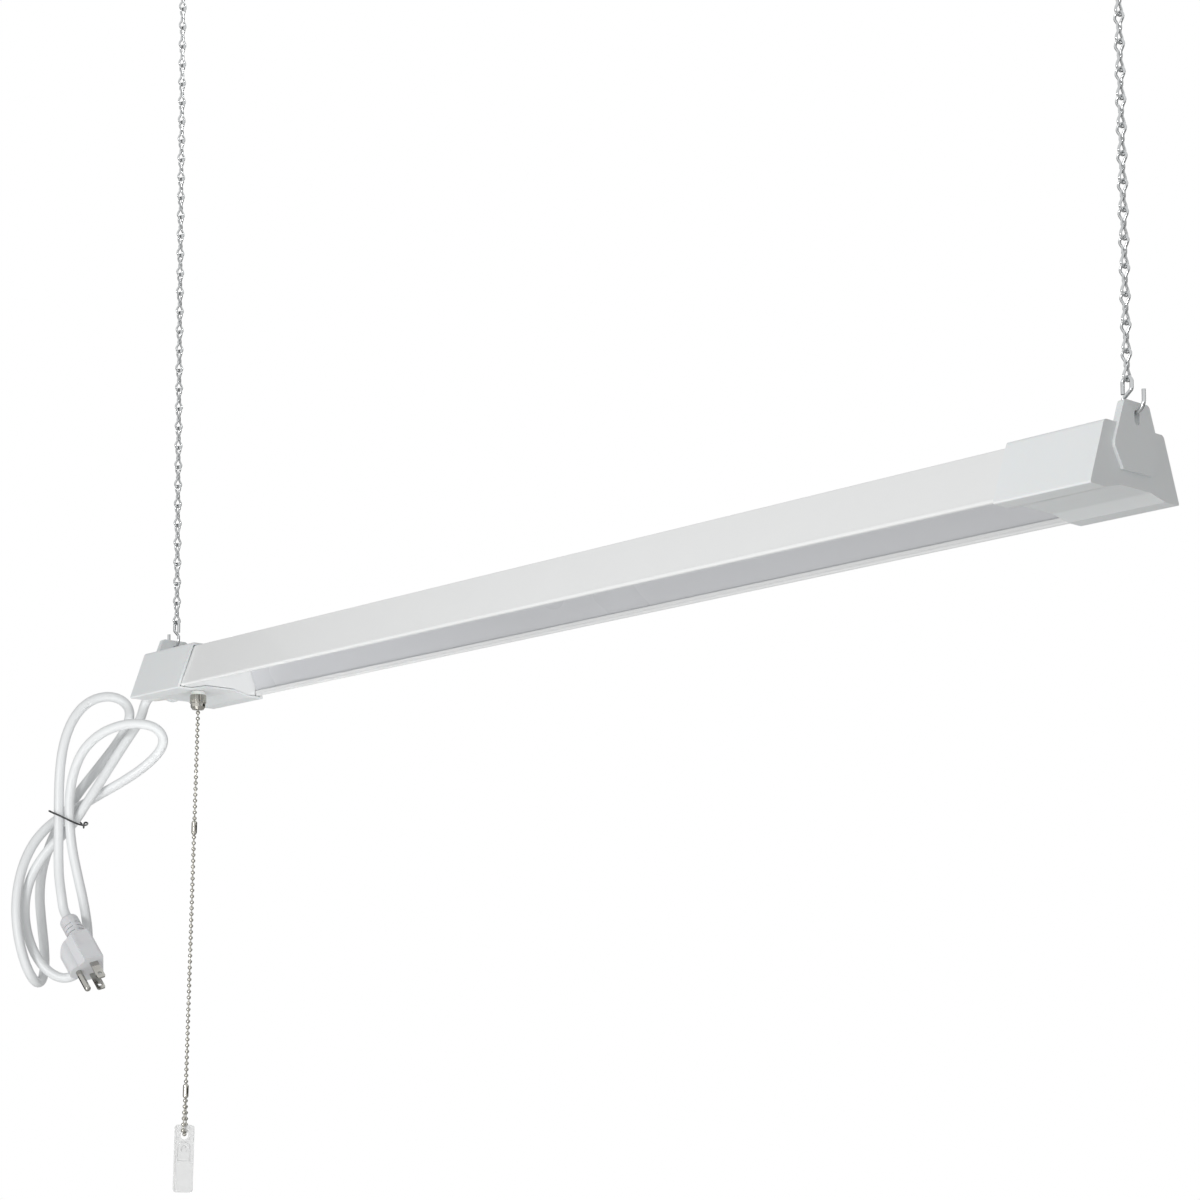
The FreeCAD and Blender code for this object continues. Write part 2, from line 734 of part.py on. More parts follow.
# ---------------------------------------------------------------- pull switch

def make_switch():
    """The canopy switch inside the left cap, and what hangs out of it."""
    body = new_body("switch_case")
    half_x, half_y = S.switch_length / 2, S.switch_width / 2
    box = outline(new_sketch(body, "XY_Plane", "case_outline", FLOOR_TOP),
                  [(-half_x, -half_y), (half_x, -half_y), (half_x, half_y), (-half_x, half_y)])
    block = pad(body, box, S.switch_height - S.switch_wall, "case")
    round_edges(body, block, along("z"), 1.0, "case_corners")
    cavity = outline(new_sketch(body, "XY_Plane", "cavity_outline", FLOOR_TOP + S.switch_base),
                     [(-half_x + S.switch_wall, -half_y + S.switch_wall),
                      (half_x - S.switch_wall, -half_y + S.switch_wall),
                      (half_x - S.switch_wall, half_y - S.switch_wall),
                      (-half_x + S.switch_wall, half_y - S.switch_wall)])
    pocket(body, cavity, S.switch_height, "cavity", backwards=True)
    pocket(body, circle(new_sketch(body, "XY_Plane", "bushing_hole_outline"), 0.0, 0.0, S.bushing_round),
           S.switch_height * 2, "bushing_hole", midplane=True)
    rotor_x = half_x - S.switch_wall - S.rotor_round - 0.4
    rotor_z = FLOOR_TOP + S.switch_height * 0.6
    pin_holes = circle(new_sketch(body, "XZ_Plane", "rotor_hole_outline"), rotor_x, rotor_z,
                       S.rotor_pin_round + 0.06)
    pocket(body, pin_holes, S.switch_width - S.switch_wall, "rotor_holes", midplane=True)
    place = (SWITCH_X, SWITCH_Y, FIXTURE_Z)
    keep(body, "switch_case", place)

    lid = new_body("switch_lid")
    lid_z = FLOOR_TOP + S.switch_height - S.switch_wall
    plate = outline(new_sketch(lid, "XY_Plane", "lid_outline", lid_z),
                    [(-half_x, -half_y), (half_x, -half_y), (half_x, half_y), (-half_x, half_y)])
    plate = pad(lid, plate, S.switch_wall, "lid")
    round_edges(lid, plate, along("z"), 1.0, "lid_corners")
    keep(lid, "switch_lid", place)

    rotor = new_body("switch_rotor")
    disc = circle(new_sketch(rotor, "XZ_Plane", "disc_outline"), rotor_x, rotor_z, S.rotor_round)
    pad(rotor, disc, S.rotor_width, "disc", midplane=True)
    pin = circle(new_sketch(rotor, "XZ_Plane", "pin_outline"), rotor_x, rotor_z, S.rotor_pin_round)
    pad(rotor, pin, S.switch_width - S.switch_wall - 0.4, "pin", midplane=True)
    notches = new_sketch(rotor, "XZ_Plane", "notch_outline")
    for x_sign, z_sign in ((1, 0), (-1, 0), (0, 1), (0, -1)):
        circle(notches, rotor_x + S.rotor_round * x_sign, rotor_z + S.rotor_round * z_sign, 1.0)
    pocket(rotor, notches, S.rotor_width * 2, "notches", midplane=True)
    keep(rotor, "switch_rotor", place)

    collar_top = S.cap_channel_depth
    nut_top = collar_top - S.collar_height
    mouth_top = nut_top - S.nut_height
    mouth_bottom = mouth_top - S.mouth_height
    ring = new_body("switch_collar")
    revolve(ring, outline(new_sketch(ring, "XZ_Plane", "collar_outline"),
                          [(S.bushing_round + 0.02, nut_top), (S.collar_round, nut_top),
                           (S.collar_round, collar_top - 0.6), (S.bushing_round + 0.08, collar_top),
                           (S.bushing_round + 0.02, collar_top)]), "collar")
    keep(ring, "switch_collar", place)

    nut = new_body("switch_nut")
    revolve(nut, outline(new_sketch(nut, "XZ_Plane", "nut_outline"),
                         [(S.bushing_round + 0.05, mouth_top), (S.nut_round - 0.4, mouth_top),
                          (S.nut_round, mouth_top + 0.5), (S.nut_round, nut_top - 0.5),
                          (S.nut_round - 0.4, nut_top), (S.bushing_round + 0.05, nut_top)]), "ring")
    groove = outline(new_sketch(nut, "XY_Plane", "knurl_outline", mouth_top - 1.0),
                     [(S.nut_round - 0.35, 0.0), (S.nut_round + 1.0, -0.5), (S.nut_round + 1.0, 0.5)])
    cut = pocket(nut, groove, S.nut_height + 2.0, "knurl", backwards=True)
    pattern = nut.newObject("PartDesign::PolarPattern", "knurls")
    pattern.Originals = [cut]
    pattern.Axis = (groove, ["N_Axis"])
    pattern.Angle = 360
    pattern.Occurrences = 30
    nut.Tip = pattern
    keep(nut, "switch_nut", place)

    bushing = new_body("switch_bushing")
    bore = S.stem_round + S.stem_fit
    revolve(bushing, outline(new_sketch(bushing, "XZ_Plane", "bushing_outline"),
                             [(bore, mouth_bottom + 3.0), (S.mouth_round - 2.6, mouth_bottom),
                              (S.mouth_round - 1.4, mouth_bottom), (S.mouth_round, mouth_bottom + 2.0),
                              (S.mouth_round, mouth_top), (S.bushing_round, mouth_top),
                              (S.bushing_round, FLOOR_TOP + S.switch_base),
                              (bore, FLOOR_TOP + S.switch_base)]), "bushing")
    keep(bushing, "switch_bushing", place)

    stem = new_body("pull_stem")
    collar_bottom = FLOOR_TOP + S.switch_height - S.switch_wall - 0.3 - S.stem_collar_height
    stem_bottom = mouth_bottom - 0.4
    revolve(stem, outline(new_sketch(stem, "XZ_Plane", "stem_outline"),
                          [(0.0, stem_bottom), (S.stem_round - 0.3, stem_bottom),
                           (S.stem_round, stem_bottom + 0.4), (S.stem_round, collar_bottom),
                           (S.stem_collar_round, collar_bottom),
                           (S.stem_collar_round, collar_bottom + S.stem_collar_height),
                           (0.0, collar_bottom + S.stem_collar_height)]), "stem")
    keep(stem, "pull_stem", place)

    make_spring(float(FLOOR_TOP + S.switch_base) + 0.05, float(collar_bottom) - 0.05, place)
    return {"stem_bottom": stem_bottom, "rotor_x": rotor_x, "rotor_z": rotor_z,
            "spring_low": FLOOR_TOP + S.switch_base}


def make_spring(low, high, place):
    """The coil spring round the stem, as quarter turns of one unbroken tube."""
    radius = float(S.spring_round)
    wire = float(S.spring_wire)
    quarters = int(float(S.spring_turns)) * 4
    rise = (high - low - wire) / quarters

    def point(turns):
        angle = math.pi / 2 * turns
        return Vector(radius * math.cos(angle), radius * math.sin(angle), low + wire / 2 + rise * turns)

    edges = [Part.Arc(point(step), point(step + 0.5), point(step + 1)).toShape() for step in range(quarters)]
    solid, length = tube(edges, wire)
    print(f"switch_spring: length {length:.0f} mm, least gap to itself {rise * 4 - wire:.2f} mm")
    shape_part("switch_spring", solid, place)


# ---------------------------------------------------------------- pull chain

def bead_string(count, lead_in, lead_out):
    """A string of beads on a bar, hanging down from z = 0, turned as one profile.

    The first bead's centre is at z = 0; the bar stands lead_in above it and lead_out below
    the last one.
    """
    radius = float(S.bead_diameter) / 2
    bar = float(S.bead_bar)
    pitch = float(S.bead_pitch)
    reach = math.sqrt(radius ** 2 - bar ** 2)
    top = Vector(bar if lead_in else 0, 0, lead_in or radius)
    edges = []
    last = top
    if lead_in:
        edges.append(Part.LineSegment(Vector(0, 0, lead_in), top).toShape())
    for index in range(count):
        centre = -index * pitch
        start = Vector(bar, 0, centre + reach) if lead_in or index else top
        finish = Vector(bar, 0, centre - reach)
        if index == count - 1 and not lead_out:
            finish = Vector(0, 0, centre - radius)
        if (start - last).Length > 1e-6:
            edges.append(Part.LineSegment(last, start).toShape())
        edges.append(Part.Arc(start, Vector(radius, 0, centre), finish).toShape())
        last = finish
    if lead_out:
        low = -(count - 1) * pitch - lead_out
        edges.append(Part.LineSegment(last, Vector(bar, 0, low)).toShape())
        last = Vector(0, 0, low)
        edges.append(Part.LineSegment(Vector(bar, 0, low), last).toShape())
    start = edges[0].valueAt(edges[0].FirstParameter)
    edges.append(Part.LineSegment(last, start).toShape())
    face = Part.Face(Part.Wire(edges))
    return face.revolve(Vector(0, 0, 0), Vector(0, 0, 1), 360)


def make_connector():
    """The split sleeve that joins two bead strings; z = 0 is its middle."""
    half = float(S.connector_length) / 2
    outer = float(S.connector_round)
    wall = float(S.connector_wall)
    lip = float(S.bead_bar) * 2
    shoulder = 1.4
    profile = [Vector(lip, 0, half), Vector(outer - 0.9, 0, half), Vector(outer, 0, half - shoulder),
               Vector(outer, 0, -half + shoulder), Vector(outer - 0.9, 0, -half), Vector(lip, 0, -half),
               Vector(lip, 0, -half + wall), Vector(outer - wall, 0, -half + wall + shoulder),
               Vector(outer - wall, 0, half - wall - shoulder), Vector(lip, 0, half - wall)]
    sleeve = Part.Face(Part.makePolygon(profile + profile[:1])).revolve(Vector(0, 0, 0), Vector(0, 0, 1), 360)
    slit = Part.makeBox(outer * 2, 1.1, half * 1.2, Vector(0, -0.55, -half * 0.6))
    return sleeve.cut(slit)


def make_bead_loop():
    """The closed loop of beads through the tag's hole, in the XZ plane.

    One bead is at its top, at z = 0, and one at its bottom. Returns the solid and the height
    from the one to the other.
    """
    radius = float(S.loop_round)
    count = int(float(S.loop_bead_count))
    perimeter = count * float(S.bead_pitch)
    drop = perimeter / 2
    for _ in range(40):
        around = (math.pi + 2 * math.asin(radius / drop)) * radius
        drop = math.hypot((perimeter - around) / 2, radius)
    lift = math.asin(radius / drop)
    straight = math.sqrt(drop ** 2 - radius ** 2)

    def place(run):
        side = 1
        if run > perimeter / 2:
            side = -1
            run = perimeter - run
        if run < straight:
            return Vector(math.sin(lift) * run * side, 0, -math.cos(lift) * run)
        angle = lift - (run - straight) / radius
        return Vector(radius * math.cos(angle) * side, 0, -drop + radius * math.sin(angle))

    solids = [Part.makeSphere(float(S.bead_diameter) / 2, place(index * perimeter / count))
              for index in range(count)]
    around = (perimeter / 2 - straight) / 2
    for side in (1, -1):
        def along_side(run):
            return place(run if side > 0 else perimeter - run)
        bend = Part.Arc(along_side(straight), along_side(straight + around), along_side(perimeter / 2))
        bar, _ = tube([Part.LineSegment(Vector(), along_side(straight)).toShape(), bend.toShape()],
                      float(S.bead_bar) * 2)
        solids.append(bar)
    return solids[0].multiFuse(solids[1:]), drop + radius


def make_tag():
    """The thin clear tag with a raised rim; z = 0 is its top edge and X its width."""
    body = new_body("pull_tag")
    half = S.tag_width / 2
    plate = outline(new_sketch(body, "XZ_Plane", "tag_outline"),
                    [(-half, -S.tag_length), (half, -S.tag_length), (half, 0.0), (-half, 0.0)])
    plate = pad(body, plate, S.tag_thick + S.tag_rim_proud * 2, "tag", midplane=True)
    round_edges(body, plate, along("y"), S.tag_corner, "tag_corners")
    inner = half - S.tag_rim
    for sign, name in ((1, "front"), (-1, "back")):
        face = outline(new_sketch(body, "XZ_Plane", f"{name}_face_outline", S.tag_thick / 2 * sign),
                       [(-inner, S.tag_rim - S.tag_length), (inner, S.tag_rim - S.tag_length),
                        (inner, -S.tag_rim), (-inner, -S.tag_rim)])
        pocket(body, face, S.tag_rim_proud * 2, f"{name}_face", backwards=sign > 0)
    hole = circle(new_sketch(body, "XZ_Plane", "hole_outline"), 0.0, -S.tag_hole_inset, S.tag_hole_round)
    pocket(body, hole, S.tag_thick * 6, "hole", midplane=True)
    return body


def make_pull_chain(stem_bottom):
    """First bead, two strings with their connectors, the loop and the tag, all leaning alike."""
    radius = S.bead_diameter / 2
    pivot = FIXTURE_Z + stem_bottom - S.fit_gap - radius
    lean = Rotation(Vector(1, 0, 0), -float(S.chain_lean))
    origin = Vector(float(SWITCH_X), float(SWITCH_Y), float(pivot))

    def turned(angle):
        return lean.multiply(Rotation(Vector(0, 0, 1), float(angle)))

    def hang(label, shape, drop, angle=0.0):
        feature = DOC.addObject("Part::Feature", label + "_shape")
        feature.Shape = shape
        feature.Label = label
        feature.Placement = Placement(origin + lean.multVec(Vector(0, 0, -drop)), turned(angle))
        PARTS.append(feature)

    pitch = float(S.bead_pitch)
    gap = float(S.fit_gap)
    between = pitch - float(S.bead_diameter) / 2 - gap
    hang("pull_first_bead", bead_string(1, 0.0, between), 0.0)
    upper = int(float(S.upper_bead_count))
    hang("pull_chain_upper", bead_string(upper, 0.0, 0.0), pitch)
    last_upper = pitch * upper
    inside = float(S.connector_length + S.bead_diameter) / 2 + 0.2 - pitch
    hang("pull_connector_upper", make_connector(), last_upper + inside)
    lower_start = last_upper + inside * 2
    lower = int(float(S.lower_bead_count))
    hang("pull_chain_lower", bead_string(lower, 0.0, 0.0), lower_start)
    last_lower = lower_start + pitch * (lower - 1)
    hang("pull_connector_lower", make_connector(), last_lower + inside)
    loop_start = last_lower + inside * 2
    loop, length = make_bead_loop()
    hang("pull_loop", loop, loop_start, S.tag_turn + S.loop_turn)
    seat = loop_start + length
    rest = float(S.bead_diameter) / 2 + gap * 2
    tag_top = seat - rest - float(S.tag_hole_inset) + float(S.tag_hole_round)
    tag = keep(make_tag(), "pull_tag")
    for axis in "xyz":
        tag.setExpression(f"Placement.Base.{axis}", None)
    tag.Placement = Placement(origin + lean.multVec(Vector(0, 0, -tag_top)), turned(S.tag_turn))
    return pivot, seat


# ---------------------------------------------------------------- hanging hardware

def hook_path(points, radii):
    """Edges of a bent wire through (x, z) points with a bend radius at each inner point."""
    return rounded_path([(x, 0.0, z) for x, z in points], radii)[0]


def make_link():
    """One jack-chain link: the upper loop in the XZ plane, the lower one in the YZ plane.

    z = 0 is the middle of the wire at the link's top.
    """
    wire = float(S.link_wire)
    bend = float(S.link_bend)
    half = float(S.link_half)
    middle = -bend - half
    waist = wire * 0.55
    from_centre = half - 0.3
    slope = math.acos(bend / math.hypot(waist, from_centre)) - math.atan2(from_centre, waist)
    loops = []
    for turn, sign in ((0, 1), (90, -1)):
        centre = half * sign
        start = Vector(waist, 0, 0.3 * sign)
        tangent = Vector(bend * math.cos(slope), 0, centre + bend * math.sin(slope) * sign)
        far_tangent = Vector(-tangent.x, 0, tangent.z)
        top = Vector(0, 0, centre + bend * sign)
        end = Vector(-waist, 0, 0.3 * sign)
        edges = [Part.LineSegment(start, tangent).toShape(),
                 Part.Arc(tangent, top, far_tangent).toShape(),
                 Part.LineSegment(far_tangent, end).toShape()]
        loop, _ = tube(edges, wire)
        loop.rotate(Vector(0, 0, 0), Vector(0, 0, 1), turn)
        loops.append(loop)
    knot = Part.makeCylinder(float(S.link_knot), 2.2, Vector(0, 0, -1.1))
    knot = knot.makeChamfer(0.5, [edge for edge in knot.Edges if edge.isClosed() and edge.Length < 99
                                  and abs(abs(edge.CenterOfMass.z) - 1.1) < 1e-6])
    for shape in loops + [knot]:
        shape.translate(Vector(0, 0, middle))
    return knot.multiFuse(loops)


def make_hanging(link, side, end):
    """A ceiling hook, its chain and its S-hook, at one end of the fixture."""
    x = CHAIN_X * end
    bowl = float(S.hook_bowl)
    drop = float(S.hook_drop)
    centre = -drop + bowl
    tilt = math.radians(30)
    lead = Vector(-bowl * math.sin(tilt), 0, centre + bowl * math.cos(tilt))
    start = Vector(0, 0, float(S.hook_shank))
    corner = Vector(0, 0, lead.z - lead.x * math.tan(tilt))
    neck, _ = rounded_path([start, corner, lead], [2.6])
    low = Vector(0, 0, centre - bowl)
    tip = Vector(bowl * math.cos(tilt), 0, centre + bowl * math.sin(tilt))
    edges = neck + [Part.Arc(lead, low, tip).toShape()]
    hook, _ = tube(edges, S.hook_wire)
    hook.rotate(Vector(0, 0, 0), Vector(0, 0, 1), 90)
    flange = Part.makeCylinder(float(S.hook_wire) * 1.35, 1.2, Vector(0, 0, -1.2))
    shape_part(f"{side}_ceiling_hook", hook.fuse(flange), (x, 0.0, 0.0))

    shape_part(f"{side}_top_link", link.copy(), (x, 0.0, LINK_TOP_Z))
    rest = []
    for index in range(1, int(float(S.chain_links))):
        copy = link.copy()
        copy.translate(Vector(0, 0, -float(LINK_PITCH) * index))
        rest.append(copy)
    shape_part(f"{side}_chain_links", Part.makeCompound(rest), (x, 0.0, LINK_TOP_Z))

    top, bottom = float(S.s_top), float(S.s_bottom)
    eye, tip = float(S.s_eye), float(S.s_tip)
    bowl = (eye + tip) / 2
    points = [(-eye, top - float(S.s_eye_end)), (-eye, top), (eye, top),
              (eye, top - float(S.s_eye_side)), (-eye, bottom + 9.3), (-eye, bottom), (tip, bottom),
              (tip, float(S.s_tip_top))]
    s_hook, _ = tube(hook_path(points, [eye - 0.02, eye - 0.02, 2.0, 2.0, bowl - 0.03, bowl - 0.03]), S.s_wire)
    shape_part(f"{side}_s_hook", s_hook, (x, 0.0, FIXTURE_Z), 0.0 if end > 0 else 180.0)


# ---------------------------------------------------------------- power cord

# Route of the cord in the hank's own frame: right, away from the viewer and up, measured from
# the strain relief's flange and the caps' undersides. The points are chosen by hand.
LEAD_ROUTE = [(-15.1, 16.0, 10.0), (-19.9, 21.1, 10.0), (-24.4, 24.7, 5.2), (-27.5, 23.5, -8.5),
              (-37.0, 18.6, -24.9), (-46.8, 14.6, -42.2), (-56.6, 11.0, -60.0), (-65.8, 8.6, -75.6)]
HANK_ROUTE = [(-74.6, 8.2, -90.2), (-83.8, 8.5, -100.4),
              # down the left, round the bottom and up behind the plug
              (-94.0, 8.9, -110.6), (-104.0, 10.0, -123.2), (-111.6, 11.0, -138.4),
              (-115.3, 12.0, -156.6), (-113.6, 13.0, -176.9), (-107.0, 14.0, -195.4),
              (-96.6, 14.0, -209.0), (-83.3, 12.5, -215.4), (-71.2, 10.5, -210.6),
              (-64.6, 8.5, -197.4), (-63.2, 6.5, -180.3), (-66.4, 4.0, -157.0),
              (-71.7, 2.0, -133.6), (-76.0, 0.3, -112.4),
              # through the tie, over the right-hand loop and back down to the tie
              (-78.0, 0.0, -93.1), (-78.5, 0.0, -74.0), (-75.6, -0.5, -54.0), (-68.4, -1.0, -36.0),
              (-54.4, -1.2, -22.4), (-36.4, -0.8, -15.4), (-20.4, 1.2, -14.8), (-9.4, 4.6, -18.8),
              (-5.4, 9.2, -28.2), (-12.4, 13.4, -38.6), (-25.6, 16.2, -49.4), (-41.4, 17.6, -59.4),
              (-58.2, 18.3, -68.6), (-73.6, 18.0, -78.2),
              # down the outer left, round the bottom and up at the back
              (-87.4, 17.4, -85.6), (-99.8, 15.0, -95.4), (-110.0, 9.6, -110.4),
              (-116.6, 4.2, -130.6), (-119.4, 0.8, -154.0), (-117.6, -0.8, -178.2),
              (-112.8, 0.2, -198.8), (-108.6, 5.0, -211.2), (-105.2, 14.8, -218.2),
              (-103.4, 26.4, -215.6), (-103.2, 34.6, -205.0), (-104.6, 38.6, -189.0),
              (-107.4, 39.8, -168.6),
              (-109.4, 38.6, -146.4), (-106.6, 35.0, -124.6), (-98.6, 29.6, -104.0),
              # behind the tie, over the left-hand loop and down to the tie
              (-88.0, 26.6, -84.0), (-76.0, 26.4, -65.0), (-62.6, 27.2, -47.6),
              (-49.6, 28.2, -30.4), (-39.8, 28.6, -15.4), (-35.4, 25.0, -2.4),
              (-39.8, 19.6, 6.4), (-50.6, 14.4, 9.6), (-62.4, 9.8, 6.4), (-72.4, 5.8, -2.4),
              (-80.2, 2.4, -17.4),
              (-84.8, 0.5, -36.6), (-86.5, 0.0, -58.6), (-86.6, 0.0, -79.6)]
TAIL_ROUTE = [(-86.4, 0.0, -99.6), (-86.3, -0.2, -120.0), (-85.2, -1.6, -137.0), (-82.2, -4.3, -153.0)]
TIE_ROUTE = [(-75.0, 40.0, -92.5), (-73.8, 33.6, -88.6), (-68.8, 27.0, -90.0), (-67.4, 14.0, -93.6),
             (-69.4, 0.6, -95.0), (-75.6, -5.4, -92.6), (-84.0, -5.6, -88.4), (-91.8, -4.6, -85.0),
             (-95.0, 2.6, -83.2), (-95.8, 15.0, -82.4), (-95.2, 27.4, -83.0), (-87.4, 33.2, -84.6),
             (-78.2, 33.8, -86.6), (-76.4, 40.0, -89.6)]
PLUG_START = (-76.2, -9.0, -169.6)
PLUG_AXIS = (0.485, -0.493, -0.722)
PLUG_PIN_SIDE = (-0.863, -0.403, -0.304)


def hank_vector(across, away, up):
    """A direction in the hank's frame, as one in the part's frame."""
    turn = math.radians(float(S.hank_turn))
    return Vector(across * math.cos(turn) - away * math.sin(turn),
                  across * math.sin(turn) + away * math.cos(turn), up)


def hank_point(across, away, up):
    """A point in the hank's frame, as one in the part's frame."""
    return hank_vector(across, away, up) + Vector(float(CORD_ANCHOR_X), 0, float(FIXTURE_Z))


def make_cord():
    """The cord as one path, cut into its lead, its tied hank and its tail, each a node."""
    diameter = float(S.cord_diameter)
    axis = Vector(*PLUG_AXIS).normalize()
    plug_entry = Vector(*PLUG_START)
    before_plug = plug_entry - axis * 9.0
    lead = [Vector(*point) for point in LEAD_ROUTE]
    hank = [Vector(*point) for point in HANK_ROUTE]
    tail = [Vector(*point) for point in TAIL_ROUTE] + [before_plug, plug_entry]
    route = [hank_point(*point) for point in lead + hank + tail]
    edges, radii = rounded_path(route)
    lead_end = cut_index(edges, (route[len(lead) - 1] + route[len(lead)]) * 0.5)
    hank_end = cut_index(edges, (route[len(lead) + len(hank) - 1] + route[len(lead) + len(hank)]) * 0.5)
    total = sum(edge.Length for edge in edges)
    print(f"cord: whole length {total:.0f} mm, least gap to itself {self_gap(edges, diameter):.2f} mm")
    spans = (("cord_lead", 0, lead_end), ("cord_hank", lead_end, hank_end), ("cord_tail", hank_end, len(edges)))
    for label, first, last in spans:
        solid, length = tube(edges[first:last], diameter)
        report_tube(label, radii if label == "cord_hank" else radii[:len(lead) - 2], solid, length, diameter)
        shape_part(label, solid, (0.0, 0.0, 0.0))
    return edges, plug_entry, axis


def cut_index(edges, near):
    """The index of the straight run nearest a point, where one node ends and the next begins."""
    def distance(index):
        edge = edges[index]
        return (edge.valueAt((edge.FirstParameter + edge.LastParameter) / 2) - near).Length
    straight = [index for index, edge in enumerate(edges) if isinstance(edge.Curve, Part.Line)]
    return min(straight, key=distance)


def make_tie():
    """The dark twist tie round the strands, with its two short ends at the back."""
    edges, radii = rounded_path([hank_point(*point) for point in TIE_ROUTE])
    solid, length = tube(edges, float(S.tie_wire))
    report_tube("cord_tie", radii, solid, length, float(S.tie_wire))
    shape_part("cord_tie", solid, (0.0, 0.0, 0.0))


def plug_neck(length):
    """The plug's strain relief: a round-shouldered neck with three rings of slots."""
    radius = float(S.plug_neck_round)
    barrel = length * 0.76
    neck = Part.makeCylinder(radius, barrel)
    shoulder = radius - float(S.cord_diameter) / 2 - 0.5
    neck = neck.makeFillet(shoulder, [edge for edge in neck.Edges if edge.isClosed() and edge.CenterOfMass.z < 0.1])
    neck = neck.fuse(Part.makeCone(radius, radius * 0.92, length - barrel, Vector(0, 0, barrel)))
    wide, web = radius + 2.0, float(S.plug_slot_web)
    deep, high = float(S.plug_slot_depth), float(S.plug_slot_width)
    for index in range(3):
        low = Vector(0, 0, float(S.plug_slot_start) + float(S.plug_slot_pitch) * index)
        ring = Part.makeCylinder(wide, high, low).cut(Part.makeCylinder(radius - deep, high, low))
        ring = ring.cut(Part.makeBox(web, wide * 2, high, low - Vector(web / 2, wide, 0)))
        neck = neck.cut(ring)
    return neck


def plug_body(start, length, row):
    """The block round the blades, with its plain sunk panels, and the domed lobe round the pin."""
    half, root = float(S.plug_width) / 2, float(S.plug_lobe_root)
    back, front = row - float(S.plug_back), row + float(S.plug_front)
    pin_x, lobe = row + float(S.pin_offset), float(S.plug_lobe_round)
    corner = float(S.plug_corner)
    block = Part.makeBox(front - back, half * 2, length, Vector(back, -half, start))
    block = block.makeFillet(corner, [edge for edge in block.Edges
                                      if edge.CenterOfMass.x < back + 0.1 and abs(edge.CenterOfMass.y) > 1])
    panel = float(S.plug_panel_depth)
    for side in (1, -1):
        sunk = Part.makeBox(front - back - corner * 2, panel * 2, length / 2 - corner,
                            Vector(back + corner, half * side - panel, start + corner / 2))
        block = block.cut(sunk)
    flanks = [Vector(front - 1, -root, start), Vector(front, -root, start), Vector(pin_x, -lobe, start),
              Vector(pin_x, lobe, start), Vector(front, root, start), Vector(front - 1, root, start)]
    bridge = Part.Face(Part.makePolygon(flanks + flanks[:1])).extrude(Vector(0, 0, length))
    bulge = bridge.fuse(Part.makeCylinder(lobe, length, Vector(pin_x, 0, start)))
    reach = pin_x + lobe - front
    dome = Part.makeCylinder(reach, root * 2 + 2, Vector(front, -root - 1, start + reach), Vector(0, 1, 0))
    rest = Part.makeBox(reach * 2, root * 2 + 2, length, Vector(front - 1, -root - 1, start + reach))
    heel = Part.makeBox(1.0, root * 2 + 2, length, Vector(front - 1, -root - 1, start))
    return block.fuse(bulge.common(dome.fuse([rest, heel]))).removeSplitter()


def make_plug(entry, axis):
    """The grounded plug: a ribbed neck, a D-shaped body, two flat blades and a round pin.

    The plug's own frame has Z along its axis, X towards the round pin and Y between the blades.
    """
    out = hank_vector(*axis)
    side = hank_vector(*PLUG_PIN_SIDE)
    side = (side - out * side.dot(out)).normalize()
    across = out.cross(side)
    frame = FreeCAD.Matrix(side.x, across.x, out.x, 0, side.y, across.y, out.y, 0, side.z, across.z, out.z, 0,
                           0, 0, 0, 1)
    place = Placement(frame)
    place.Base = hank_point(*entry)

    neck_length, length = float(S.plug_neck_length), float(S.plug_length)
    row = float(S.plug_neck_offset)
    shell = plug_neck(neck_length).fuse(plug_body(neck_length, length, row)).removeSplitter()
    blade_x = row
    pin_x = row + float(S.pin_offset)
    face = neck_length + length
    blade_half = float(S.blade_spacing) / 2
    blades = []
    for sign in (1, -1):
        blade = Part.makeBox(float(S.blade_width), float(S.blade_thick), float(S.blade_length),
                             Vector(blade_x - float(S.blade_width) / 2,
                                    blade_half * sign - float(S.blade_thick) / 2, face))
        ends = [edge for edge in blade.Edges if edge.CenterOfMass.z > face + float(S.blade_length) - 0.1
                and edge.Length < 2]
        blade = blade.makeFillet(1.5, ends)
        hole = Part.makeCylinder(1.6, 6.0, Vector(blade_x, blade_half * sign - 3.0,
                                                  face + float(S.blade_length) - 4.4), Vector(0, 1, 0))
        blades.append(blade.cut(hole))
    pin = Part.makeCylinder(float(S.pin_round), float(S.pin_length), Vector(pin_x, 0, face))
    pin = pin.makeFillet(float(S.pin_round) * 0.8, [edge for edge in pin.Edges if edge.isClosed()
                                                    and edge.CenterOfMass.z > face + 1])
    for label, shape in (("plug_body", shell), ("plug_blades", Part.makeCompound(blades)),
                         ("plug_ground_pin", pin)):
        feature = DOC.addObject("Part::Feature", label + "_shape")
        feature.Shape = shape
        feature.Label = label
        feature.Placement = place
        PARTS.append(feature)


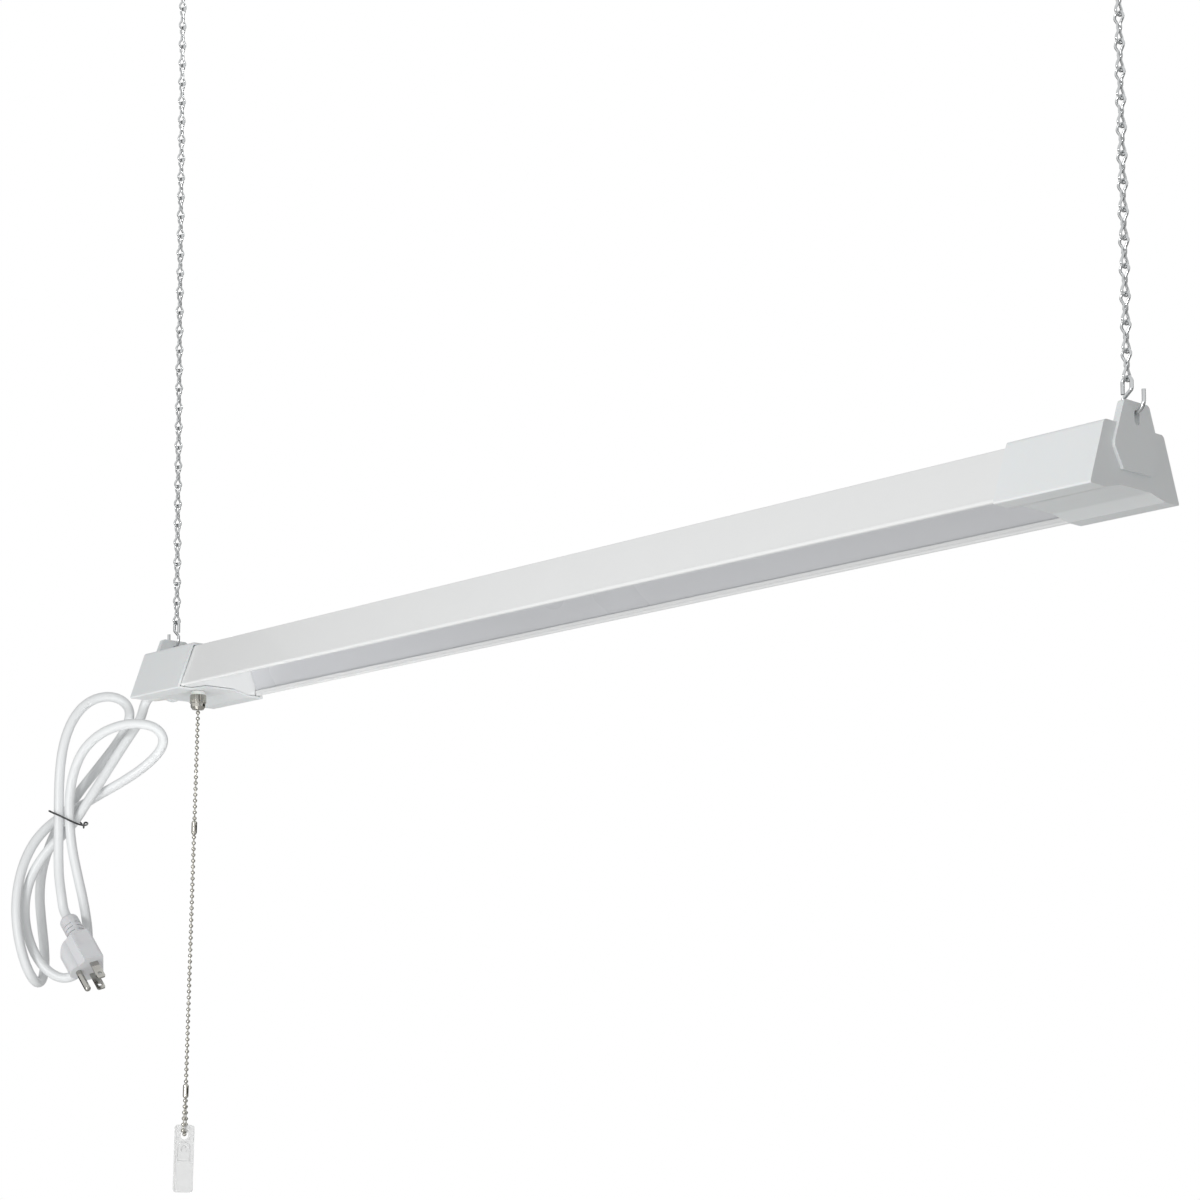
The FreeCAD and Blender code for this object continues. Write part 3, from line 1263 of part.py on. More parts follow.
def make_strain_relief():
    """The moulded grommet through the cap's end wall, tapering onto the cord."""
    body = new_body("cord_strain_relief")
    start = RELIEF_FACE - S.relief_flange_thick
    tail = S.cord_diameter / 2 + 1.0
    revolve(body, outline(new_sketch(body, "XZ_Plane", "relief_outline"),
                          [(0.0, -S.relief_inside - start), (S.relief_round, -S.relief_inside - start),
                           (S.relief_round, 0.0), (S.relief_flange_round, 0.0),
                           (S.relief_flange_round, S.relief_flange_thick),
                           (S.relief_round + 0.8, S.relief_flange_thick),
                           (tail, S.relief_flange_thick + S.relief_length),
                           (0.0, S.relief_flange_thick + S.relief_length)]), "relief")
    keep(body, "cord_strain_relief")
    place = (-HALF - start, 0.0, FIXTURE_Z + S.cord_exit_height)
    body.Placement = Placement(Vector(*[float(value) for value in place]), Rotation(Vector(0, 1, 0), -90))
    for axis, value in zip("xyz", place):
        bind(body, f"Placement.Base.{axis}", value)


def make_supply_wires():
    """The three insulated conductors from the cord to the switch, the driver and the earth screw."""
    start_x = -float(HALF) + float(S.relief_inside) + 0.9
    z = float(S.cord_exit_height)
    switch_end = float(SWITCH_X - S.switch_length / 2) - 0.2
    driver_end = float(-CAP_MOUTH + S.driver_inset) - 0.3
    mouth = float(-CAP_MOUTH)
    routes = [[(start_x, -1.6, z), (start_x + 7, -3.0, z + 1.5), (switch_end - 5, -7.0, z + 7.0),
               (switch_end, -8.0, z + 7.6)],
              [(start_x, 1.6, z + 1.2), (start_x + 10, 5.5, z + 5.0), (mouth - 24, 11.6, 27.4),
               (mouth - 6, 12.0, 28.4), (driver_end, 12.0, 28.4)],
              [(start_x, 1.4, z - 1.8), (start_x + 7, 7.0, z - 1.0), (start_x + 10, 15.0, z + 9.0),
               (start_x + 10, 17.6, 30.6)]]
    wires = [tube(rounded_path(route)[0], 1.8)[0] for route in routes]
    shape_part("supply_wires", Part.makeCompound(wires))
    seat = HOUSING_TOP - S.sheet_wall
    body = new_body("ground_screw")
    revolve(body, outline(new_sketch(body, "XZ_Plane", "ground_screw_outline"),
                          [(0.0, -2.6), (3.2, -2.6), (3.2, -0.6), (3.9, -0.6), (3.9, 0.0), (0.0, 0.0)]),
            "turned_screw")
    keep(body, "ground_screw", (-HALF + S.relief_inside + 10.9, 17.6, FIXTURE_Z + seat))


# ---------------------------------------------------------------- assembly

def build():
    """Builds every sub-part, and returns the places that the joints turn about."""
    make_housing()
    make_reflector()
    make_lamp()
    make_bulkheads()
    make_driver()
    make_cap("end_cap_switch", -1, True)
    make_cap("end_cap_plain", 1, False)
    make_cap_screws()
    switch = make_switch()
    pivot, seat = make_pull_chain(switch["stem_bottom"])
    link = make_link()
    make_hanging(link, "right", 1)
    make_hanging(link, "left", -1)
    make_strain_relief()
    make_supply_wires()
    _, entry, axis = make_cord()
    make_tie()
    make_plug(entry, axis)
    places = {"chain_x": CHAIN_X, "hook_bowl_z": HOOK_BOWL_Z, "link_top_z": LINK_TOP_Z,
              "first_link_low_z": LINK_TOP_Z - LINK_REACH, "last_link_low_z": LINK_BOTTOM_Z,
              "s_bowl_z": FIXTURE_Z + S.s_bottom, "fixture_z": FIXTURE_Z, "bead_pivot_z": pivot,
              "switch_x": SWITCH_X, "switch_y": SWITCH_Y, "rotor_x": SWITCH_X + switch["rotor_x"],
              "rotor_z": FIXTURE_Z + switch["rotor_z"], "spring_low_z": FIXTURE_Z + switch["spring_low"]}
    for name, value in places.items():
        print(f"{name} = {float(value):.3f}")
    print(f"tag seat = {seat:.3f} below the first bead")


def check_and_export():
    """Stops on any failed object or bad shape, then writes one STEP file for each sub-part."""
    DOC.recompute()
    for thing in DOC.Objects:
        if "Invalid" in thing.State or "Error" in thing.State:
            raise ValueError(f"{thing.Label} failed: {thing.State}")
    for part in PARTS:
        if part.Shape.isNull() or not part.Shape.isValid() or not part.Shape.Solids:
            raise ValueError(f"{part.Label} has no valid solid")
    os.makedirs("parts", exist_ok=True)
    for part in PARTS:
        part.Shape.exportStep(os.path.join("parts", part.Label + ".step"))
    print(f"{len(PARTS)} sub-parts written")


build()
check_and_export()
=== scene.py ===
"""Hanging shop light: the finishes, the repeated metalwork, the cord and the studio.

Every length is in metres and every place is in the part's own frame: the origin is on the
ceiling plane between the two hooks, +X runs along the fixture and +Z is up.
"""
import logging
import math
from dataclasses import dataclass, field
from enum import Enum

import bmesh
import bpy
from mathutils import Matrix, Vector


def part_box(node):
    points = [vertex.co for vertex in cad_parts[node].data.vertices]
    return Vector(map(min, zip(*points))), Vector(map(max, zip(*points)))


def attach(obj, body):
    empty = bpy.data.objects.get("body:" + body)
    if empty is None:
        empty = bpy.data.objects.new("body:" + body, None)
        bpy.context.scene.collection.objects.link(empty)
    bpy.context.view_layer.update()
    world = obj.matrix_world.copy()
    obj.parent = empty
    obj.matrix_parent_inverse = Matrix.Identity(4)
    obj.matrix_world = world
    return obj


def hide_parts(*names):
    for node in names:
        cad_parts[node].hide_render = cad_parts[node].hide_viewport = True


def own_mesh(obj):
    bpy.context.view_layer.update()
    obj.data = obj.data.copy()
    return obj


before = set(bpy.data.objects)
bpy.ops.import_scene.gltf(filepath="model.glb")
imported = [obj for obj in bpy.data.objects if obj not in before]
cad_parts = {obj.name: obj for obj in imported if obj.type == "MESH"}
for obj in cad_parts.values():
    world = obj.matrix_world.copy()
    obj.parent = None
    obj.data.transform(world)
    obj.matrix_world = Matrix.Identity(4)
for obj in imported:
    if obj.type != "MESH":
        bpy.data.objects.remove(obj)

LOG = logging.getLogger("shop_light")
MM = 0.001
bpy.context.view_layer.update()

# Places as the part's source has them, in metres, and the way the hank faces.
FIXTURE_Z = -0.6119
CORD_ANCHOR = Vector((-0.461, 0.0, FIXTURE_Z))
HANK_TURN = math.radians(46.75)
HOOK_X = 0.453

# How deep light goes under a soft or moulded surface.
SCATTER_DEPTH = 2.0 * MM

# The cord's route: right, away from the viewer and up, from the strain relief's flange.
CORD_ROUTE = (
    (-0.0151, 0.0160, 0.0100), (-0.0199, 0.0211, 0.0100), (-0.0244, 0.0247, 0.0052),
    (-0.0275, 0.0235, -0.0085), (-0.0370, 0.0186, -0.0249), (-0.0468, 0.0146, -0.0422),
    (-0.0566, 0.0110, -0.0600), (-0.0658, 0.0086, -0.0756), (-0.0746, 0.0082, -0.0902),
    (-0.0838, 0.0085, -0.1004), (-0.0940, 0.0089, -0.1106), (-0.1040, 0.0100, -0.1232),
    (-0.1116, 0.0110, -0.1384), (-0.1153, 0.0120, -0.1566), (-0.1136, 0.0130, -0.1769),
    (-0.1070, 0.0140, -0.1954), (-0.0966, 0.0140, -0.2090), (-0.0833, 0.0125, -0.2154),
    (-0.0712, 0.0105, -0.2106), (-0.0646, 0.0085, -0.1974), (-0.0632, 0.0065, -0.1803),
    (-0.0664, 0.0040, -0.1570), (-0.0717, 0.0020, -0.1336), (-0.0760, 0.0003, -0.1124),
    (-0.0780, 0.0000, -0.0931), (-0.0785, 0.0000, -0.0740), (-0.0756, -0.0005, -0.0540),
    (-0.0684, -0.0010, -0.0360), (-0.0544, -0.0012, -0.0224), (-0.0364, -0.0008, -0.0154),
    (-0.0204, 0.0012, -0.0148), (-0.0094, 0.0046, -0.0188), (-0.0054, 0.0092, -0.0282),
    (-0.0124, 0.0134, -0.0386), (-0.0256, 0.0162, -0.0494), (-0.0414, 0.0176, -0.0594),
    (-0.0582, 0.0183, -0.0686), (-0.0736, 0.0180, -0.0782), (-0.0874, 0.0174, -0.0856),
    (-0.0998, 0.0150, -0.0954), (-0.1100, 0.0096, -0.1104), (-0.1166, 0.0042, -0.1306),
    (-0.1194, 0.0008, -0.1540), (-0.1176, -0.0008, -0.1782), (-0.1128, 0.0002, -0.1988),
    (-0.1086, 0.0050, -0.2112), (-0.1052, 0.0148, -0.2182), (-0.1034, 0.0264, -0.2156),
    (-0.1032, 0.0346, -0.2050), (-0.1046, 0.0386, -0.1890), (-0.1074, 0.0398, -0.1686),
    (-0.1094, 0.0386, -0.1464), (-0.1066, 0.0350, -0.1246), (-0.0986, 0.0296, -0.1040),
    (-0.0880, 0.0266, -0.0840), (-0.0760, 0.0264, -0.0650), (-0.0626, 0.0272, -0.0476),
    (-0.0496, 0.0282, -0.0304), (-0.0398, 0.0286, -0.0154), (-0.0354, 0.0250, -0.0024),
    (-0.0398, 0.0196, 0.0064), (-0.0506, 0.0144, 0.0096), (-0.0624, 0.0098, 0.0064),
    (-0.0724, 0.0058, -0.0024), (-0.0802, 0.0024, -0.0174), (-0.0848, 0.0005, -0.0366),
    (-0.0865, 0.0000, -0.0586), (-0.0866, 0.0000, -0.0796), (-0.0864, 0.0000, -0.0996),
    (-0.0863, -0.0002, -0.1200), (-0.0852, -0.0016, -0.1370), (-0.0822, -0.0043, -0.1530),
    (-0.0806, -0.0046, -0.1631), (-0.0762, -0.0090, -0.1696),
)

# The tie's route, in the same directions.
TIE_ROUTE = (
    (-0.0750, 0.0400, -0.0925), (-0.0738, 0.0336, -0.0886), (-0.0688, 0.0270, -0.0900),
    (-0.0674, 0.0140, -0.0936), (-0.0694, 0.0006, -0.0950), (-0.0756, -0.0054, -0.0926),
    (-0.0840, -0.0056, -0.0884), (-0.0918, -0.0046, -0.0850), (-0.0950, 0.0026, -0.0832),
    (-0.0958, 0.0150, -0.0824), (-0.0952, 0.0274, -0.0830), (-0.0874, 0.0332, -0.0846),
    (-0.0782, 0.0338, -0.0866), (-0.0764, 0.0400, -0.0896),
)

# ---------------------------------------------------------------- colours and shader nodes

def linear(code: str) -> tuple[float, float, float, float]:
    """Turns an sRGB hex colour into linear RGBA.

    Args:
        code: the colour as "#RRGGBB".

    Returns:
        The linear colour with an alpha of 1.
    """
    def channel(pair: str) -> float:
        """One channel, from two hex digits."""
        value = int(pair, 16) / 255
        return value / 12.92 if value <= 0.04045 else ((value + 0.055) / 1.055) ** 2.4
    return (channel(code[1:3]), channel(code[3:5]), channel(code[5:7]), 1.0)


def add_node(tree: bpy.types.NodeTree, kind: str, settings: dict | None = None,
             links: dict | None = None) -> bpy.types.Node:
    """Adds a node, sets its properties and input values, and links its inputs.

    Args:
        tree: the node tree.
        kind: the node's type name.
        settings: property names, or input names or numbers, and their values.
        links: input names or numbers, and the output sockets that feed them.

    Returns:
        The new node.
    """
    node = tree.nodes.new(kind)
    for key, value in (settings or {}).items():
        if isinstance(key, str) and hasattr(node, key):
            setattr(node, key, value)
        else:
            node.inputs[key].default_value = value
    for key, socket in (links or {}).items():
        tree.links.new(socket, node.inputs[key])
    return node


class Texture(Enum):
    """The fine relief that a surface's making leaves on it."""

    ORANGE_PEEL = "orange peel"
    MOULD_GRAIN = "mould grain"
    DRAWN = "drawn"
    ROLLED = "rolled"


@dataclass(frozen=True)
class Finish:
    """One real material, with how its surface was made.

    Attributes:
        name: the material's name.
        colour: its sRGB colour.
        second: the colour of its faint patches.
        roughness: its mean roughness.
        spread: how far the roughness wanders.
        metallic: 1 for a bare metal.
        ior: its index of refraction, where it isn't a metal.
        texture: the relief on it.
        grain: the size of that relief, in millimetres.
        relief: the height of that relief, in millimetres.
        patch: the size of the colour patches, in millimetres.
        coat: the weight of a clear coat.
        transmission: the weight of transmission.
        subsurface: the weight of light scattered under the surface.
    """

    name: str
    colour: str
    second: str
    roughness: float
    spread: float = 0.05
    metallic: float = 0.0
    ior: float = 1.5
    texture: Texture = Texture.ORANGE_PEEL
    grain: float = 1.0
    relief: float = 0.02
    patch: float = 40.0
    coat: float = 0.0
    transmission: float = 0.0
    subsurface: float = 0.0

    def material(self) -> bpy.types.Material:
        """The finish as a material, made once."""
        found = bpy.data.materials.get(self.name)
        return found or self.build()

    def build(self) -> bpy.types.Material:
        """Builds the finish's node tree.

        Returns:
            The new material.
        """
        material = bpy.data.materials.new(self.name)
        material.use_nodes = True
        tree = material.node_tree
        tree.nodes.clear()
        place = add_node(tree, "ShaderNodeTexCoord").outputs["Object"]
        patches = add_node(tree, "ShaderNodeTexNoise",
                           {"Scale": 1000 / self.patch, "Detail": 3.0, "Roughness": 0.55},
                           {"Vector": place})
        colour = add_node(tree, "ShaderNodeMix", {"data_type": "RGBA", 6: linear(self.colour),
                                                  7: linear(self.second)})
        tree.links.new(patches.outputs["Fac"], colour.inputs[0])
        rough = add_node(tree, "ShaderNodeMapRange",
                         {"To Min": max(self.roughness - self.spread, 0.02),
                          "To Max": self.roughness + self.spread},
                         {"Value": patches.outputs["Fac"]})
        surface = add_node(tree, "ShaderNodeBsdfPrincipled",
                           {"Metallic": self.metallic, "IOR": self.ior, "Coat Weight": self.coat,
                            "Transmission Weight": self.transmission,
                            "Subsurface Weight": self.subsurface, "Subsurface Scale": SCATTER_DEPTH},
                           {"Base Color": colour.outputs[2], "Roughness": rough.outputs["Result"]})
        bump = add_node(tree, "ShaderNodeBump", {"Strength": 1.0, "Distance": self.relief * MM},
                        {"Height": self.height(tree, place)})
        tree.links.new(bump.outputs["Normal"], surface.inputs["Normal"])
        out = add_node(tree, "ShaderNodeOutputMaterial")
        tree.links.new(surface.outputs[0], out.inputs["Surface"])
        return material

    def height(self, tree: bpy.types.NodeTree, place: bpy.types.NodeSocket) -> bpy.types.NodeSocket:
        """The height pattern that the surface's making leaves.

        Args:
            tree: the material's node tree.
            place: the Object coordinates.

        Returns:
            The socket of the pattern.
        """
        scale = 1000 / self.grain
        if self.texture is Texture.MOULD_GRAIN:
            cells = add_node(tree, "ShaderNodeTexVoronoi", {"feature": "SMOOTH_F1", "Scale": scale},
                             {"Vector": place})
            return cells.outputs["Distance"]
        if self.texture in (Texture.DRAWN, Texture.ROLLED):
            stretch = (0.04, 1.0, 1.0) if self.texture is Texture.ROLLED else (1.0, 1.0, 0.05)
            mapping = add_node(tree, "ShaderNodeMapping", {"Scale": stretch}, {"Vector": place})
            lines = add_node(tree, "ShaderNodeTexNoise", {"Scale": scale, "Detail": 2.0},
                             {"Vector": mapping.outputs[0]})
            return lines.outputs["Fac"]
        peel = add_node(tree, "ShaderNodeTexNoise", {"Scale": scale, "Detail": 1.5, "Roughness": 0.4},
                        {"Vector": place})
        return peel.outputs["Fac"]


# Satin white powder coat on formed steel: soft highlights with a faint orange peel.
POWDER_COAT = Finish("powder_coated_steel_satin_white", "#EEEFEF", "#EBECEC", 0.36,
                     texture=Texture.ORANGE_PEEL, grain=1.6, relief=0.012, coat=0.15)
# Enamel inside the trough, a little glossier: its real white is painted grey here as the shade deep in the
# trough (painted shade).
TRAY_ENAMEL_PAINTED_SHADE = Finish("baked_enamel_reflector_painted_shade", "#DCDDE0", "#D9DADD", 0.28,
                     texture=Texture.ROLLED, grain=2.4, relief=0.0015, patch=160.0, coat=0.2)
# Moulded white end caps: a shade cooler than the steel, with a fine spark-eroded grain.
CAP_PLASTIC = Finish("moulded_abs_white_fine_grain", "#ECEFF0", "#E8EBEC", 0.42, ior=1.53,
                     texture=Texture.MOULD_GRAIN, grain=0.7, relief=0.012, subsurface=0.05)
# The plates that close the trough's ends: the same enamel, painted whiter than the rest to stand in for
# the light they catch (painted light).
PLATE_ENAMEL_PAINTED_LIGHT = Finish("baked_enamel_end_plate_painted_light", "#FAFBFB", "#F7F8F8", 0.3,
                      texture=Texture.ORANGE_PEEL, grain=1.6, relief=0.004, coat=0.2)
# Small moulded pieces in soft vinyl: slightly warm, smooth and waxy.
VINYL_PIECES = Finish("moulded_vinyl_white", "#EDEDEA", "#E6E6E2", 0.38, ior=1.52,
                      texture=Texture.ORANGE_PEEL, grain=1.2, relief=0.01, subsurface=0.08)
# Extruded cord jacket: smooth vinyl with a dull sheen.
CORD_JACKET = Finish("extruded_vinyl_jacket_white", "#ECEEEF", "#E9EBEC", 0.36, ior=1.52,
                     texture=Texture.ORANGE_PEEL, grain=3.0, relief=0.008, patch=14.0)
# The plug's moulding: the cord's vinyl with more filler, a shade greyer and finely grained.
PLUG_VINYL = Finish("injection_moulded_vinyl_plug", "#DDDEE0", "#D8D9DC", 0.4, ior=1.52,
                    texture=Texture.MOULD_GRAIN, grain=0.8, relief=0.01, patch=12.0, subsurface=0.05)
# Zinc plate over drawn wire: pale, bright and slightly mottled.
ZINC_WIRE = Finish("drawn_steel_wire_zinc_plated", "#D2D4D5", "#B6B8B9", 0.15, spread=0.08, metallic=1.0,
                   texture=Texture.DRAWN, grain=0.5, relief=0.006, patch=3.0)
# Nickel plate on rolled bead chain and turned fittings: warm and near mirror bright.
NICKEL = Finish("nickel_plated_brass", "#CBC9C2", "#A9A79F", 0.09, spread=0.05, metallic=1.0,
                texture=Texture.ORANGE_PEEL, grain=0.8, relief=0.003, patch=2.0)
SCREW_ZINC = Finish("cold_headed_steel_zinc_plated", "#CFD1D2", "#BABDBF", 0.26, metallic=1.0,
                    texture=Texture.ORANGE_PEEL, grain=0.5, relief=0.004, patch=3.0)
# Nickel plate over stamped contacts: neutral, bright and faintly lined by the rolling.
BLADE_NICKEL = Finish("nickel_plated_blade", "#BDBCB7", "#9E9D98", 0.13, metallic=1.0,
                      texture=Texture.DRAWN, grain=0.4, relief=0.003, patch=5.0)
# Stamped brass inside the switch: yellow, with fine rolling lines.
BRASS = Finish("stamped_brass_blade", "#D6B56C", "#C7A45A", 0.2, metallic=1.0,
               texture=Texture.DRAWN, grain=0.4, relief=0.004, patch=6.0)
GALVANISED = Finish("galvanised_sheet", "#B4B8BA", "#9FA4A7", 0.34, spread=0.1, metallic=1.0,
                    texture=Texture.ORANGE_PEEL, grain=6.0, relief=0.004, patch=9.0)
SPRING_STEEL = Finish("coiled_spring_steel", "#9DA0A3", "#8B8E91", 0.25, metallic=1.0,
                      texture=Texture.DRAWN, grain=0.4, relief=0.004, patch=3.0)
# Clear moulded tag: almost colourless, with smooth flame-bright edges.
CLEAR_TAG = Finish("moulded_clear_polystyrene", "#F4F4F4", "#EFF0F0", 0.09, spread=0.02, ior=1.59,
                   texture=Texture.ORANGE_PEEL, grain=6.0, relief=0.01, transmission=0.45)
FROSTED = Finish("extruded_opal_acrylic", "#F2F4F5", "#EEF0F1", 0.48, ior=1.49,
                 texture=Texture.ROLLED, grain=0.9, relief=0.006, subsurface=0.2)
PHENOLIC = Finish("moulded_phenolic_black", "#232427", "#2C2D30", 0.4, ior=1.6,
                  texture=Texture.MOULD_GRAIN, grain=0.6, relief=0.01)
BOARD_WHITE = Finish("solder_masked_board_white", "#E9EBE9", "#E2E5E2", 0.3, texture=Texture.ORANGE_PEEL,
                     grain=1.0, relief=0.004)
BOARD_GREEN = Finish("solder_masked_board_green", "#2E5B42", "#274F39", 0.3, texture=Texture.ORANGE_PEEL,
                     grain=1.0, relief=0.004)
PHOSPHOR = Finish("phosphor_filled_silicone", "#EFE3A6", "#E7D78F", 0.35, texture=Texture.ORANGE_PEEL,
                  grain=0.5, relief=0.004)
TIE_COAT = Finish("vinyl_coated_tie_wire_black", "#2B2B2D", "#363638", 0.4, ior=1.52,
                  texture=Texture.ORANGE_PEEL, grain=0.8, relief=0.02, patch=6.0)
CONDUCTOR = Finish("extruded_conductor_insulation", "#35363A", "#2E2F33", 0.35, ior=1.52,
                   texture=Texture.ORANGE_PEEL, grain=2.0, relief=0.006)

# Matt seamless paper under the object.
FLOOR_PAPER = Finish("studio_seamless_paper_white", "#F4F4F3", "#F0F0EF", 0.8,
                     texture=Texture.ORANGE_PEEL, grain=4.0, relief=0.05, patch=400.0)

# Matt dark cloth on the panels beside the set.
FLAG_CLOTH = Finish("studio_flag_cloth_dark", "#1B1B18", "#151512", 0.9,
                    texture=Texture.ORANGE_PEEL, grain=3.0, relief=0.05, patch=300.0)

# The reflector tray's grey is painted shade, and the end plates' extra white is painted light.
NODE_FINISHES: dict[str, Finish] = {
    "housing_channel": POWDER_COAT, "reflector_tray": TRAY_ENAMEL_PAINTED_SHADE, "led_board": BOARD_WHITE,
    "led_chips": PHOSPHOR, "led_lens": FROSTED, "end_cap_switch": CAP_PLASTIC,
    "end_cap_plain": CAP_PLASTIC, "bulkhead_left": PLATE_ENAMEL_PAINTED_LIGHT, "bulkhead_right": PLATE_ENAMEL_PAINTED_LIGHT,
    "cap_screws": SCREW_ZINC, "driver_case": GALVANISED, "driver_board": BOARD_GREEN,
    "supply_wires": CONDUCTOR, "ground_screw": SCREW_ZINC, "switch_case": PHENOLIC,
    "switch_lid": PHENOLIC, "switch_rotor": BRASS,
    "switch_bushing": NICKEL, "switch_collar": VINYL_PIECES, "switch_nut": NICKEL,
    "cord_strain_relief": VINYL_PIECES, "pull_stem": NICKEL, "pull_first_bead": NICKEL,
    "pull_connector_upper": NICKEL, "pull_connector_lower": NICKEL, "pull_tag": CLEAR_TAG,
    "left_ceiling_hook": ZINC_WIRE, "right_ceiling_hook": ZINC_WIRE, "left_s_hook": ZINC_WIRE,
    "right_s_hook": ZINC_WIRE, "plug_body": PLUG_VINYL, "plug_blades": BLADE_NICKEL,
    "plug_ground_pin": BLADE_NICKEL,
}


# ---------------------------------------------------------------- mesh helpers

def dress(node: str, finish: Finish) -> None:
    """Gives a CAD node's object its finish.

    Args:
        node: the node's name.
        finish: the finish that it gets.
    """
    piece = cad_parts[node]
    piece.data.materials.clear()
    piece.data.materials.append(finish.material())


def finished(name: str, mesh: bpy.types.Mesh, finish: Finish | None = None) -> bpy.types.Object:
    """Links a mesh as a piece at the origin.

    Args:
        name: the piece's name.
        mesh: its mesh, already in place.
        finish: its finish, or None where the mesh brings its own.

    Returns:
        The new object.
    """
    mesh.name = name
    piece = bpy.data.objects.new(name, mesh)
    bpy.context.scene.collection.objects.link(piece)
    if finish:
        mesh.materials.clear()
        mesh.materials.append(finish.material())
    mesh.shade_smooth()
    return piece


def baked(source: bpy.types.Object, place: Matrix | None = None) -> bpy.types.Mesh:
    """Takes an object's evaluated mesh and deletes the object.

    Args:
        source: a curve, or a mesh with its modifiers.
        place: where its vertices go.

    Returns:
        A plain mesh.
    """
    bpy.context.view_layer.update()
    evaluated = source.evaluated_get(bpy.context.evaluated_depsgraph_get())
    mesh = bpy.data.meshes.new_from_object(evaluated)
    if place is not None:
        mesh.transform(place)
    data = source.data
    bpy.data.objects.remove(source)
    if isinstance(data, bpy.types.Curve):
        bpy.data.curves.remove(data)
    return mesh


def smooth_curve(name: str, points: list[Vector], radius: float, sides: int,
                 steps: int) -> bpy.types.Object:
    """An open NURBS curve with a round section.

    Args:
        name: the curve's name.
        points: its control points.
        radius: the section's radius.
        sides: the bevel resolution.
        steps: the resolution along it.

    Returns:
        The curve's object.
    """
    curve = bpy.data.curves.new(name, "CURVE")
    curve.dimensions = "3D"
    curve.bevel_depth = radius
    curve.bevel_resolution = sides
    curve.use_fill_caps = True
    curve.resolution_u = steps
    spline = curve.splines.new("NURBS")
    spline.points.add(len(points) - 1)
    for point, place in zip(spline.points, points):
        point.co = (*place, 1.0)
    spline.order_u = 3
    spline.use_endpoint_u = True
    piece = bpy.data.objects.new(name, curve)
    bpy.context.scene.collection.objects.link(piece)
    return piece


def hank_point(point: tuple[float, float, float]) -> Vector:
    """A point of the cord's route in the part's frame."""
    across, away, up = point
    return CORD_ANCHOR + Vector((across * math.cos(HANK_TURN) - away * math.sin(HANK_TURN),
                                 across * math.sin(HANK_TURN) + away * math.cos(HANK_TURN), up))


# ---------------------------------------------------------------- geometry nodes

